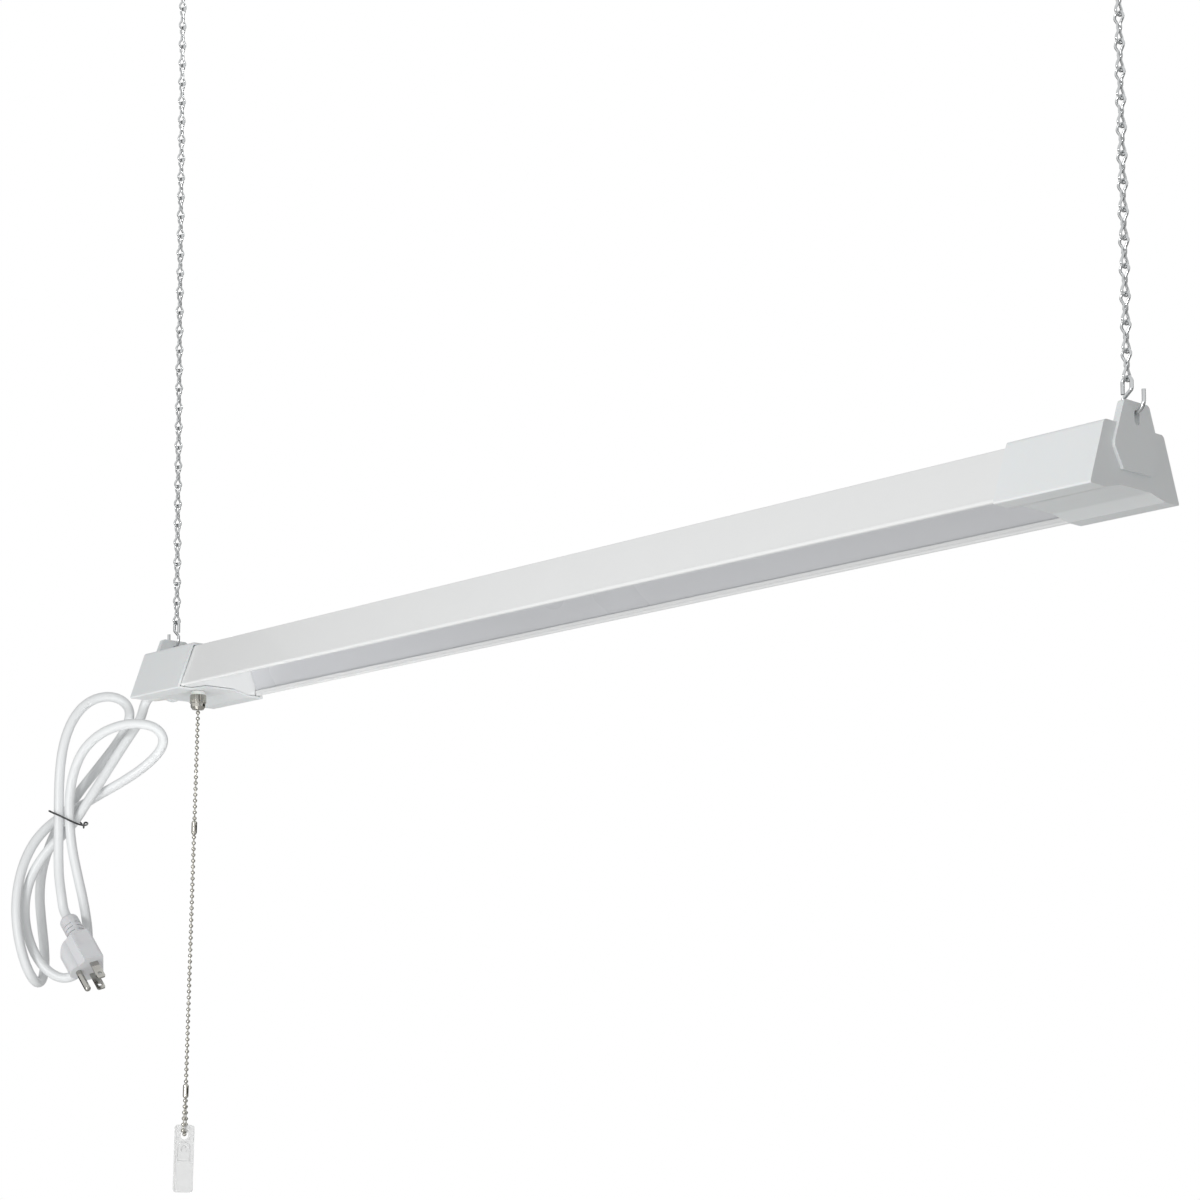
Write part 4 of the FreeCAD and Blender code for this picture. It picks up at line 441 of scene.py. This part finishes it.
class Rig:
    """A geometry node tree with named inputs, run once on an empty mesh."""

    def __init__(self, name: str, sizes: dict[str, float | int]) -> None:
        """Starts the tree and its inputs.

        Args:
            name: the tree's name.
            sizes: input names with their values; a whole number makes an integer input.
        """
        self.tree = bpy.data.node_groups.new(name, "GeometryNodeTree")
        self.sizes = sizes
        self.keys: dict[str, str] = {}
        self.tree.interface.new_socket("Path", in_out="INPUT", socket_type="NodeSocketGeometry")
        for label, value in sizes.items():
            kind = "NodeSocketInt" if isinstance(value, int) else "NodeSocketFloat"
            socket = self.tree.interface.new_socket(label, in_out="INPUT", socket_type=kind)
            self.keys[label] = socket.identifier
        self.tree.interface.new_socket("Geometry", in_out="OUTPUT", socket_type="NodeSocketGeometry")
        self.given = self.tree.nodes.new("NodeGroupInput")
        self.path = self.given.outputs["Path"]

    def node(self, kind: str, settings: dict | None = None, links: dict | None = None) -> bpy.types.Node:
        """Adds a node; a link given as a text is the input of that name."""
        wired = {key: self.given.outputs[value] if isinstance(value, str) else value
                 for key, value in (links or {}).items()}
        return add_node(self.tree, kind, settings, wired)

    def math(self, operation: str, first: object, second: object) -> bpy.types.NodeSocket:
        """The result of an operation on two sockets, input names or numbers."""
        settings = {"operation": operation}
        links = {}
        for index, value in enumerate((first, second)):
            if isinstance(value, (int, float)):
                settings[index] = value
            else:
                links[index] = value
        return self.node("ShaderNodeMath", settings, links).outputs[0]

    def tube(self, curve: bpy.types.NodeSocket, radius: str, caps: bool = False) -> bpy.types.NodeSocket:
        """A round tube along a curve, with the Sides input's number of sides.

        Args:
            curve: the curve's socket.
            radius: the name of the input that is its radius.
            caps: whether its ends are closed.

        Returns:
            The tube's socket.
        """
        section = self.node("GeometryNodeCurvePrimitiveCircle",
                            links={"Radius": radius, "Resolution": "Sides"})
        return self.node("GeometryNodeCurveToMesh", {"Fill Caps": caps},
                         {"Curve": curve, "Profile Curve": section.outputs[0]}).outputs[0]

    def coil(self, radius: str, height: str) -> bpy.types.NodeSocket:
        """A helix of the Turns input's turns, with Steps points in each."""
        return self.node("GeometryNodeCurveSpiral", links={
            "Resolution": "Steps", "Rotations": "Turns", "Start Radius": radius, "End Radius": radius,
            "Height": height}).outputs[0]

    def row(self, count: str, pitch: str) -> bpy.types.NodeSocket:
        """Points one below the other."""
        return self.node("GeometryNodeMeshLine", {"mode": "OFFSET"},
                         {"Count": count, "Offset": down(self, pitch)}).outputs[0]

    def copies(self, points: bpy.types.NodeSocket, instance: bpy.types.NodeSocket) -> bpy.types.NodeSocket:
        """A copy of a shape on each point."""
        return self.node("GeometryNodeInstanceOnPoints",
                         links={"Points": points, "Instance": instance}).outputs[0]

    def beads(self, points: bpy.types.NodeSocket, bar: bpy.types.NodeSocket) -> bpy.types.NodeSocket:
        """A bead on each point, together with the bar that holds them."""
        bead = self.node("GeometryNodeMeshUVSphere", {"Segments": 20, "Rings": 12},
                         {"Radius": "Bead Radius"})
        both = self.node("GeometryNodeJoinGeometry", links={0: self.copies(points, bead.outputs[0])})
        self.tree.links.new(bar, both.inputs[0])
        return both.outputs[0]

    def mesh(self, geometry: bpy.types.NodeSocket, finish: Finish, place: Matrix | None = None,
             base: bpy.types.Mesh | None = None) -> bpy.types.Mesh:
        """Realises the geometry, sets its material and takes it as a plain mesh.

        Args:
            geometry: the tree's last geometry socket.
            finish: the finish that it gets.
            place: where its vertices go.
            base: the mesh that the Path input reads.

        Returns:
            The plain mesh.
        """
        real = self.node("GeometryNodeRealizeInstances", links={0: geometry})
        painted = self.node("GeometryNodeSetMaterial", {"Material": finish.material()},
                            {0: real.outputs[0]})
        out = self.tree.nodes.new("NodeGroupOutput")
        self.tree.links.new(painted.outputs[0], out.inputs[0])
        holder = bpy.data.objects.new("holder", base or bpy.data.meshes.new("holder"))
        bpy.context.scene.collection.objects.link(holder)
        modifier = holder.modifiers.new("rig", "NODES")
        modifier.node_group = self.tree
        for label, value in self.sizes.items():
            modifier[self.keys[label]] = value
        return baked(holder, place)


def loop_mesh(points: list[Vector]) -> bpy.types.Mesh:
    """A ring of edges through the points."""
    mesh = bpy.data.meshes.new("ring")
    count = len(points)
    mesh.from_pydata([tuple(point) for point in points],
                     [(index, (index + 1) % count) for index in range(count)], [])
    return mesh


def down(rig: Rig, distance: object) -> bpy.types.NodeSocket:
    """A vector that points down by a distance, as a socket."""
    minus = rig.math("MULTIPLY", distance, -1.0)
    return rig.node("ShaderNodeCombineXYZ", links={"Z": minus}).outputs[0]


# ---------------------------------------------------------------- chains and hooks

@dataclass(frozen=True)
class JackChain:
    """One of the two hanging chains: figure-eight links of one bent wire.

    Attributes:
        side: "left" or "right".
        x: the chain's place along the fixture.
        wire: the wire's diameter.
        half: from a link's middle to the centre of each of its loops.
        bend: the radius of a loop, at the middle of the wire.
        waist: how far each strand stands from the middle of the twist.
        neck: from a link's middle to the ends of the twist.
        top: the middle of the wire at the chain's top.
        links: the number of links.
        play: the clearance between two links.
    """

    side: str
    x: float
    wire: float = 1.6 * MM
    half: float = 5.85 * MM
    bend: float = 2.8 * MM
    waist: float = 0.86 * MM
    neck: float = 1.6 * MM
    top: float = -32.7 * MM
    links: int = 33
    play: float = 0.1 * MM

    @property
    def pitch(self) -> float:
        """From one link to the next."""
        return 2 * (self.half + self.bend) - self.wire - self.play

    def loop(self, sign: int) -> list[Vector]:
        """One loop, from one strand of the waist round to the other, in the XZ plane.

        Args:
            sign: 1 for the upper loop and -1 for the lower one.

        Returns:
            The loop's points about the link's middle.
        """
        points = []
        flare, turn = 4, 12
        for index in range(flare):
            share = index / flare
            out = self.waist + (self.bend - self.waist) * (share * share * (3 - 2 * share))
            points.append(Vector((out, 0, (self.neck + (self.half - self.neck) * share) * sign)))
        for index in range(turn + 1):
            angle = math.pi * index / turn
            rise = self.half + self.bend * math.sin(angle)
            points.append(Vector((self.bend * math.cos(angle), 0, rise * sign)))
        for index in reversed(range(flare)):
            mirror = points[index]
            points.append(Vector((-mirror.x, 0, mirror.z)))
        return points

    def centreline(self) -> list[Vector]:
        """The whole link's points: upper loop, half a turn of twist, lower loop and back."""
        upper = self.loop(1)
        lower = [Vector((0, point.x, point.z)) for point in self.loop(-1)]
        down_twist, up_twist = [], []
        steps = 4
        for index in range(1, steps):
            share = index / steps
            angle = math.pi / 2 * share
            height = self.neck * (1 - 2 * share)
            across, along = self.waist * math.cos(angle), self.waist * math.sin(angle)
            down_twist.append(Vector((-across, -along, height)))
            up_twist.append(Vector((along, across, -height)))
        lower.reverse()
        return upper + down_twist + lower + up_twist

    def mesh(self, first: int, count: int) -> bpy.types.Mesh:
        """Some of the chain's links, repeated down the chain by geometry nodes.

        Args:
            first: the number of the first link.
            count: how many links.

        Returns:
            The plain mesh.
        """
        rig = Rig(f"{self.side}_jack_chain_{first}",
                  {"Link Pitch": self.pitch, "Wire Radius": self.wire / 2, "Link Count": count,
                   "Sides": 10})
        wire = rig.node("GeometryNodeMeshToCurve", links={0: rig.path})
        link = rig.tube(wire.outputs[0], "Wire Radius")
        chain = rig.copies(rig.row("Link Count", "Link Pitch"), link)
        middle = self.top - self.bend - self.half - self.pitch * first
        return rig.mesh(chain, ZINC_WIRE, Matrix.Translation((self.x, 0, middle)),
                        loop_mesh(self.centreline()))

    def build(self) -> list[bpy.types.Object]:
        """Builds the top link, which turns by itself, and the rest of the chain."""
        pieces = []
        for name, node, body, first, count in (
                ("top_link_wire", "top_link", "first_link", 0, 1),
                ("chain_wire", "chain_links", "chain", 1, self.links - 1)):
            piece = finished(f"{self.side}_{name}", self.mesh(first, count))
            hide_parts(f"{self.side}_{node}")
            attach(piece, f"{self.side}_{body}")
            pieces.append(piece)
        return pieces


@dataclass(frozen=True)
class HookThread:
    """The rolled screw thread on a ceiling hook's shank.

    Attributes:
        side: "left" or "right".
        x: the hook's place.
        shank: the shank's length above the ceiling.
        radius: the shank's radius.
        pitch: the thread's pitch.
        ridge: the radius of the thread's ridge.
        plain: the length of the shank that has no thread.
        foot: where the thread starts, above the ceiling.
    """

    side: str
    x: float
    shank: float = 18.6 * MM
    radius: float = 1.6 * MM
    pitch: float = 1.5 * MM
    ridge: float = 0.34 * MM
    plain: float = 0.8 * MM
    foot: float = 0.5 * MM

    def build(self) -> bpy.types.Object:
        """Winds the ridge round the shank with geometry nodes."""
        length = self.shank - self.plain
        rig = Rig(f"{self.side}_hook_thread",
                  {"Turns": length / self.pitch, "Shank Radius": self.radius, "Length": length,
                   "Ridge": self.ridge, "Steps": 20, "Sides": 6})
        ridge = rig.tube(rig.coil("Shank Radius", "Length"), "Ridge", caps=True)
        mesh = rig.mesh(ridge, SCREW_ZINC, Matrix.Translation((self.x, 0, self.foot)))
        piece = finished(f"{self.side}_hook_thread", mesh)
        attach(piece, "ceiling_hooks")
        return piece


# ---------------------------------------------------------------- pull chain

@dataclass(frozen=True)
class PullChain:
    """The bead chain under the switch, with its loop and the clear tag's raised mark.

    Attributes:
        bead: a bead's radius.
        bar: the radius of the bar between beads.
        pitch: from bead to bead.
        upper: beads between the first bead and the upper sleeve.
        lower: beads between the two sleeves.
        loop: beads in the closed loop.
        sleeve: a sleeve's length.
        clearance: the play of a sleeve on the beads that it holds.
        loop_round: the radius of the loop's foot.
        loop_turn: the loop's yaw.
        tag_turn: the tag's yaw.
        lean: how far the whole chain leans towards the viewer's side.
        pivot: the first bead's centre.
    """

    bead: float = 1.6 * MM
    bar: float = 0.5 * MM
    pitch: float = 4.55 * MM
    upper: int = 19
    lower: int = 44
    loop: int = 14
    sleeve: float = 11.0 * MM
    clearance: float = 0.2 * MM
    loop_round: float = 3.2 * MM
    loop_turn: float = math.radians(46.7 + 78.0)
    tag_turn: float = math.radians(46.7)
    lean: float = math.radians(1.55)
    pivot: Vector = field(default_factory=lambda: Vector((-0.410, -0.0084, -0.6255)))

    @property
    def inside(self) -> float:
        """From a string's end bead to the middle of the sleeve that holds it."""
        return (self.sleeve + 2 * self.bead) / 2 + self.clearance - self.pitch

    @property
    def lower_start(self) -> float:
        """The depth of the lower string's first bead."""
        return self.pitch * self.upper + 2 * self.inside

    @property
    def loop_start(self) -> float:
        """The depth of the loop's top bead."""
        return self.lower_start + self.pitch * (self.lower - 1) + 2 * self.inside

    def place(self, depth: float, turn: float = 0.0) -> Matrix:
        """Where a piece goes that hangs at a depth under the first bead."""
        lean = Matrix.Rotation(-self.lean, 4, "X")
        return (Matrix.Translation(self.pivot) @ lean @ Matrix.Translation((0, 0, -depth))
                @ Matrix.Rotation(turn, 4, "Z"))

    def string(self, name: str, node: str, count: int, depth: float) -> bpy.types.Object:
        """One straight string: beads repeated down a bar by geometry nodes.

        Args:
            name: the piece's name.
            node: the CAD node that it stands for.
            count: the number of beads.
            depth: the depth of its first bead.

        Returns:
            The piece.
        """
        rig = Rig(name, {"Bead Pitch": self.pitch, "Bead Radius": self.bead, "Bar Radius": self.bar,
                         "Beads": count, "Bar Length": self.pitch * (count - 1)})
        bar = rig.node("GeometryNodeMeshCylinder", {"Vertices": 12}, {"Radius": "Bar Radius",
                                                                      "Depth": "Bar Length"})
        middle = rig.math("MULTIPLY", "Bar Length", 0.5)
        seated = rig.node("GeometryNodeTransform", links={"Geometry": bar.outputs[0],
                                                          "Translation": down(rig, middle)})
        beads = rig.beads(rig.row("Beads", "Bead Pitch"), seated.outputs[0])
        piece = finished(name, rig.mesh(beads, NICKEL, self.place(depth)))
        return self.carried(piece, node)

    def loop_path(self) -> list[Vector]:
        """The closed loop's centreline: two straight sides and a round foot."""
        radius = self.loop_round
        perimeter = self.loop * self.pitch
        drop = perimeter / 2
        passes, side_steps, foot_steps = 40, 12, 16
        for _ in range(passes):
            around = (math.pi + 2 * math.asin(radius / drop)) * radius
            drop = math.hypot((perimeter - around) / 2, radius)
        lift = math.asin(radius / drop)
        straight = math.sqrt(drop ** 2 - radius ** 2)
        slope = Vector((math.sin(lift), 0, -math.cos(lift)))
        points = [slope * straight * (index / side_steps) for index in range(side_steps)]
        for index in range(foot_steps + 1):
            angle = lift - (math.pi + 2 * lift) * index / foot_steps
            points.append(Vector((radius * math.cos(angle), 0, -drop + radius * math.sin(angle))))
        points += [Vector((-point.x, 0, point.z)) for point in reversed(points[1:side_steps])]
        return points

    def loop_piece(self) -> bpy.types.Object:
        """The closed loop: beads set along its path by geometry nodes, on a bar that follows it."""
        rig = Rig("bead_loop", {"Bead Radius": self.bead, "Bar Radius": self.bar, "Beads": self.loop,
                                "Sides": 10})
        path = rig.node("GeometryNodeMeshToCurve", links={0: rig.path})
        spots = rig.node("GeometryNodeResampleCurve", links={"Curve": path.outputs[0], "Count": "Beads"})
        beads = rig.beads(spots.outputs[0], rig.tube(path.outputs[0], "Bar Radius"))
        mesh = rig.mesh(beads, NICKEL, self.place(self.loop_start, self.loop_turn),
                        loop_mesh(self.loop_path()))
        return self.carried(finished("bead_loop", mesh), "pull_loop")

    def carried(self, piece: bpy.types.Object, node: str) -> bpy.types.Object:
        """Lets a piece stand for a node of the hanging string."""
        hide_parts(node)
        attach(piece, "pull_string")
        return piece

    def tag_mark(self) -> bpy.types.Object:
        """The raised arch and bar moulded on the front of the tag, under its hole."""
        low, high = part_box("pull_tag")
        centre = Vector((low[i] + high[i] for i in range(3))) / 2
        face, rib_radius = 0.62 * MM, 0.22 * MM
        # From here on in millimetres from the tag's middle.
        half, foot, shoulder, crown = 4.6, -1.6, 3.0, 8.2
        arch = [Vector((-half, 0, foot)), Vector((-half, 0, shoulder))]
        arch += [Vector((half * math.cos(angle), 0, crown + half * math.sin(angle)))
                 for angle in (math.pi, 0.8 * math.pi, 0.6 * math.pi, 0.4 * math.pi, 0.2 * math.pi, 0.0)]
        arch += [Vector((half, 0, shoulder)), Vector((half, 0, foot))]
        bar = [Vector((x, 0, -1.8)) for x in (-5.6, 0, 5.6)]
        small = [Vector((x, 0, z))
                 for x, z in ((-1.9, 5.4), (-1.9, 8.4), (0, 10.4), (1.9, 8.4), (1.9, 5.4))]
        mesh = bmesh.new()
        for index, run in enumerate((arch, bar, small)):
            raised = [point * MM + Vector((0, -face, 0)) for point in run]
            curve = smooth_curve(f"tag_rib_{index}", raised, rib_radius, sides=2, steps=4)
            rib = baked(curve)
            mesh.from_mesh(rib)
            bpy.data.meshes.remove(rib)
        data = bpy.data.meshes.new("tag_mark")
        mesh.to_mesh(data)
        mesh.free()
        lean = Matrix.Rotation(-self.lean, 4, "X")
        data.transform(Matrix.Translation(centre) @ lean @ Matrix.Rotation(self.tag_turn, 4, "Z"))
        piece = finished("tag_mark", data, CLEAR_TAG)
        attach(piece, "tag")
        return piece

    def build(self) -> list[bpy.types.Object]:
        """Builds the two strings, the loop and the tag's mark."""
        return [self.string("bead_string_upper", "pull_chain_upper", self.upper, self.pitch),
                self.string("bead_string_lower", "pull_chain_lower", self.lower, self.lower_start),
                self.loop_piece(), self.tag_mark()]


# ---------------------------------------------------------------- switch spring

@dataclass(frozen=True)
class SwitchSpring:
    """The coil spring round the pull stem, which the stem's collar presses down.

    Attributes:
        turns: the number of turns.
        radius: from the stem's axis to the middle of the wire.
        wire: the wire's diameter.
        travel: how far the collar comes down on it; not used.
    """

    turns: float = 5.0
    radius: float = 2.3 * MM
    wire: float = 0.8 * MM
    travel: float = 6.0 * MM

    def build(self) -> bpy.types.Object:
        """Winds the spring with geometry nodes."""
        low, high = (Vector(corner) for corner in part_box("switch_spring"))
        foot = Vector(((low.x + high.x) / 2, (low.y + high.y) / 2, low.z))
        tall = high.z - low.z
        rig = Rig("switch_spring_coil", {"Turns": self.turns, "Coil Radius": self.radius,
                                         "Rise": tall - self.wire, "Wire Radius": self.wire / 2,
                                         "Steps": 32, "Sides": 10})
        coil = rig.tube(rig.coil("Coil Radius", "Rise"), "Wire Radius", caps=True)
        seat = Matrix.Translation(foot + Vector((0, 0, self.wire / 2)))
        piece = finished("switch_coil", rig.mesh(coil, SPRING_STEEL, seat))
        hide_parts("switch_spring")
        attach(piece, "fixture")
        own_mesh(piece)
        return piece


# ---------------------------------------------------------------- power cord

@dataclass(frozen=True)
class PowerCord:
    """The short cord: out of the left cap, down, one tied hank of two loops, and a plug.

    Attributes:
        diameter: the jacket's outside diameter.
        length: the cord's length from the strain relief to the plug; not used.
        route: the control points in the hank's frame.
        tie_wire: the diameter of the tie's wire.
        tie_route: the tie's control points in the hank's frame.
    """

    diameter: float = 7.6 * MM
    length: float = 1.265
    route: tuple[tuple[float, float, float], ...] = CORD_ROUTE
    tie_wire: float = 1.4 * MM
    tie_route: tuple[tuple[float, float, float], ...] = TIE_ROUTE

    def build(self) -> bpy.types.Object:
        points = [hank_point(point) for point in self.route]
        piece = smooth_curve("power_cord", points, self.diameter / 2, sides=6, steps=8)
        piece.data.materials.append(CORD_JACKET.material())
        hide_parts("cord_lead", "cord_hank", "cord_tail")
        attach(piece, "fixture")
        with_pieces = [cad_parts[node] for node in ("plug_body", "plug_blades", "plug_ground_pin")]
        with_pieces + [self.tie()]
        return piece

    def tie(self) -> bpy.types.Object:
        """The coated wire tie round the hank."""
        points = [hank_point(point) for point in self.tie_route]
        piece = smooth_curve("hank_tie", points, self.tie_wire / 2, sides=4, steps=8)
        piece.data.materials.append(TIE_COAT.material())
        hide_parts("cord_tie")
        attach(piece, "fixture")
        return piece


# ---------------------------------------------------------------- carried-over nodes

@dataclass(frozen=True)
class Fixture:
    """The pieces that keep the CAD model's own shapes.

    Attributes:
        finishes: the finish of each node.
    """

    finishes: dict[str, Finish] = field(default_factory=lambda: dict(NODE_FINISHES))

    def dress(self) -> None:
        """Gives every carried-over node its finish."""
        for node, finish in self.finishes.items():
            dress(node, finish)
            LOG.info("dressed %s in %s", node, finish.name)


# ---------------------------------------------------------------- studio

@dataclass(frozen=True)
class SoftLamp:
    """A soft square lamp.

    Attributes:
        name: its name.
        place: where it is.
        target: what it points at.
        size: the length of its side.
        power: its power in watts.
        spread: the angle of its beam.
        colour: its colour.
    """

    name: str
    place: tuple[float, float, float]
    target: tuple[float, float, float]
    size: float
    power: float
    spread: float = math.pi
    colour: str = "#FFFFFF"

    def build(self) -> None:
        """Hangs the lamp and points it."""
        data = bpy.data.lights.new(self.name, "AREA")
        data.shape = "SQUARE"
        data.size = self.size
        data.energy = self.power
        data.spread = self.spread
        data.color = linear(self.colour)[:3]
        lamp = bpy.data.objects.new(self.name, data)
        aim = Vector(self.target) - Vector(self.place)
        lamp.matrix_world = (Matrix.Translation(self.place)
                             @ aim.to_track_quat("-Z", "Y").to_matrix().to_4x4())
        bpy.context.scene.collection.objects.link(lamp)


# The key from the front, a narrow fill up into the trough and a soft one from under the front.
LAMPS = (SoftLamp("key_softbox", (0.45, -2.1, -0.59), (0.2, 0.0, -0.6), 0.4, 15.0),
         SoftLamp("low_fill", (0.0, -0.06, -0.88), (-0.4, 0.0, -0.6), 0.2, 0.06, spread=0.8),
         SoftLamp("under_softbox", (-0.05, -0.35, -1.2), (0.0, 0.0, -0.62), 0.8, 2.6))

# The dark panels' names, and where their left and right edges stand.
FLAGS = (("left_flag", (-1.66, -1.15), (-1.85, 0.75)),
         ("right_flag", (-0.94, 1.77), (1.45, 1.65)))


@dataclass(frozen=True)
class Studio:
    """The camera, the plain pale surroundings and the soft lamps.

    Attributes:
        eye: the camera's place.
        yaw: the camera's turn about Z.
        pitch: its tilt upwards.
        roll: its turn about its own axis.
        lens: its focal length for a 36 mm wide picture.
        shift: the picture's shift.
        floor: the floor's height.
        reach: how far the floor runs each way.
        flag_top: the height of the dark panels' tops.
        flags: the dark panels.
        lamps: the soft lamps.
    """

    eye: tuple[float, float, float] = (1.2835, -1.1545, -0.9516)
    yaw: float = 0.8244
    pitch: float = 0.0889
    roll: float = -0.0043
    lens: float = 79.69
    shift: tuple[float, float] = (0.0, 0.25)
    floor: float = -1.25
    reach: float = 6.0
    flag_top: float = 0.35
    flags: tuple[tuple[str, tuple[float, float], tuple[float, float]], ...] = FLAGS
    lamps: tuple[SoftLamp, ...] = LAMPS

    def camera(self) -> None:
        """Stands the camera at the photograph's angle."""
        forward = Vector((-math.sin(self.yaw) * math.cos(self.pitch),
                          math.cos(self.yaw) * math.cos(self.pitch), math.sin(self.pitch)))
        right = forward.cross(Vector((0, 0, 1))).normalized()
        over = right.cross(forward)
        across = right * math.cos(self.roll) + over * math.sin(self.roll)
        upward = over * math.cos(self.roll) - right * math.sin(self.roll)
        data = bpy.data.cameras.new("camera")
        data.lens = self.lens
        data.sensor_width = 36.0
        data.sensor_fit = "HORIZONTAL"
        data.shift_x, data.shift_y = self.shift
        data.clip_end = 50.0
        camera = bpy.data.objects.new("camera", data)
        camera.matrix_world = Matrix((
            (across.x, upward.x, -forward.x, self.eye[0]),
            (across.y, upward.y, -forward.y, self.eye[1]),
            (across.z, upward.z, -forward.z, self.eye[2]),
            (0, 0, 0, 1)))
        bpy.context.scene.collection.objects.link(camera)
        bpy.context.scene.camera = camera

    def world(self, seen: str = "#FFFFFF", light: str = "#FFFFFF", strength: float = 0.455) -> None:
        """White where it is seen, straight, through plastic or reflected, and a dimmer light elsewhere.

        Args:
            seen: the background's colour.
            light: the colour of its light.
            strength: the strength of its light.
        """
        world = bpy.data.worlds.new("studio")
        bpy.context.scene.world = world
        world.use_nodes = True
        tree = world.node_tree
        tree.nodes.clear()
        path = add_node(tree, "ShaderNodeLightPath").outputs
        straight = add_node(tree, "ShaderNodeMath", {"operation": "MAXIMUM"},
                            {0: path["Is Camera Ray"], 1: path["Is Transmission Ray"]})
        factor = add_node(tree, "ShaderNodeMath", {"operation": "MAXIMUM"},
                          {0: straight.outputs[0], 1: path["Is Glossy Ray"]})
        dim = add_node(tree, "ShaderNodeBackground", {"Color": linear(light), "Strength": strength})
        white = add_node(tree, "ShaderNodeBackground", {"Color": linear(seen), "Strength": 1.0})
        mix = add_node(tree, "ShaderNodeMixShader", links={0: factor.outputs[0], 1: dim.outputs[0],
                                                           2: white.outputs[0]})
        add_node(tree, "ShaderNodeOutputWorld", links={"Surface": mix.outputs[0]})

    def ground(self) -> None:
        """A plain pale floor, well under the hanging fixture."""
        mesh = bpy.data.meshes.new("studio_floor")
        corners = ((-1, -1), (1, -1), (1, 1), (-1, 1))
        mesh.from_pydata([(x * self.reach, y * self.reach, self.floor) for x, y in corners], [],
                         [(0, 1, 2, 3)])
        floor = bpy.data.objects.new("studio_floor", mesh)
        bpy.context.scene.collection.objects.link(floor)
        mesh.materials.append(FLOOR_PAPER.material())

    def flag(self, name: str, start: tuple[float, float], end: tuple[float, float]) -> None:
        """A dark upright panel, seen in glossy reflections only, that draws the metal's edges.

        Args:
            name: its name.
            start: where its left edge stands.
            end: where its right edge stands.
        """
        mesh = bpy.data.meshes.new(name)
        mesh.from_pydata([(*start, self.floor), (*end, self.floor), (*end, self.flag_top),
                          (*start, self.flag_top)], [], [(0, 1, 2, 3)])
        panel = bpy.data.objects.new(name, mesh)
        bpy.context.scene.collection.objects.link(panel)
        mesh.materials.append(FLAG_CLOTH.material())
        panel.visible_camera = panel.visible_diffuse = panel.visible_shadow = False
        panel.visible_transmission = panel.visible_volume_scatter = False

    def build(self) -> None:
        """Sets the whole studio."""
        self.camera()
        self.world()
        self.ground()
        for name, start, end in self.flags:
            self.flag(name, start, end)
        for lamp in self.lamps:
            lamp.build()
        bpy.context.scene.view_settings.view_transform = "Standard"


def main() -> None:
    """Builds the studio, then the cord, then the rest of the object."""
    logging.basicConfig(level=logging.INFO, format="%(message)s")
    Studio().build()
    cord = PowerCord().build()
    LOG.info("cord %s", cord.name)
    pieces = []
    for side, x in (("left", -HOOK_X), ("right", HOOK_X)):
        pieces += JackChain(side, x).build() + [HookThread(side, x).build()]
    pieces += PullChain().build() + [SwitchSpring().build()]
    for piece in pieces:
        LOG.info("piece %s: %d faces", piece.name, len(piece.data.polygons))
    Fixture().dress()


if __name__ == "__main__":
    main()
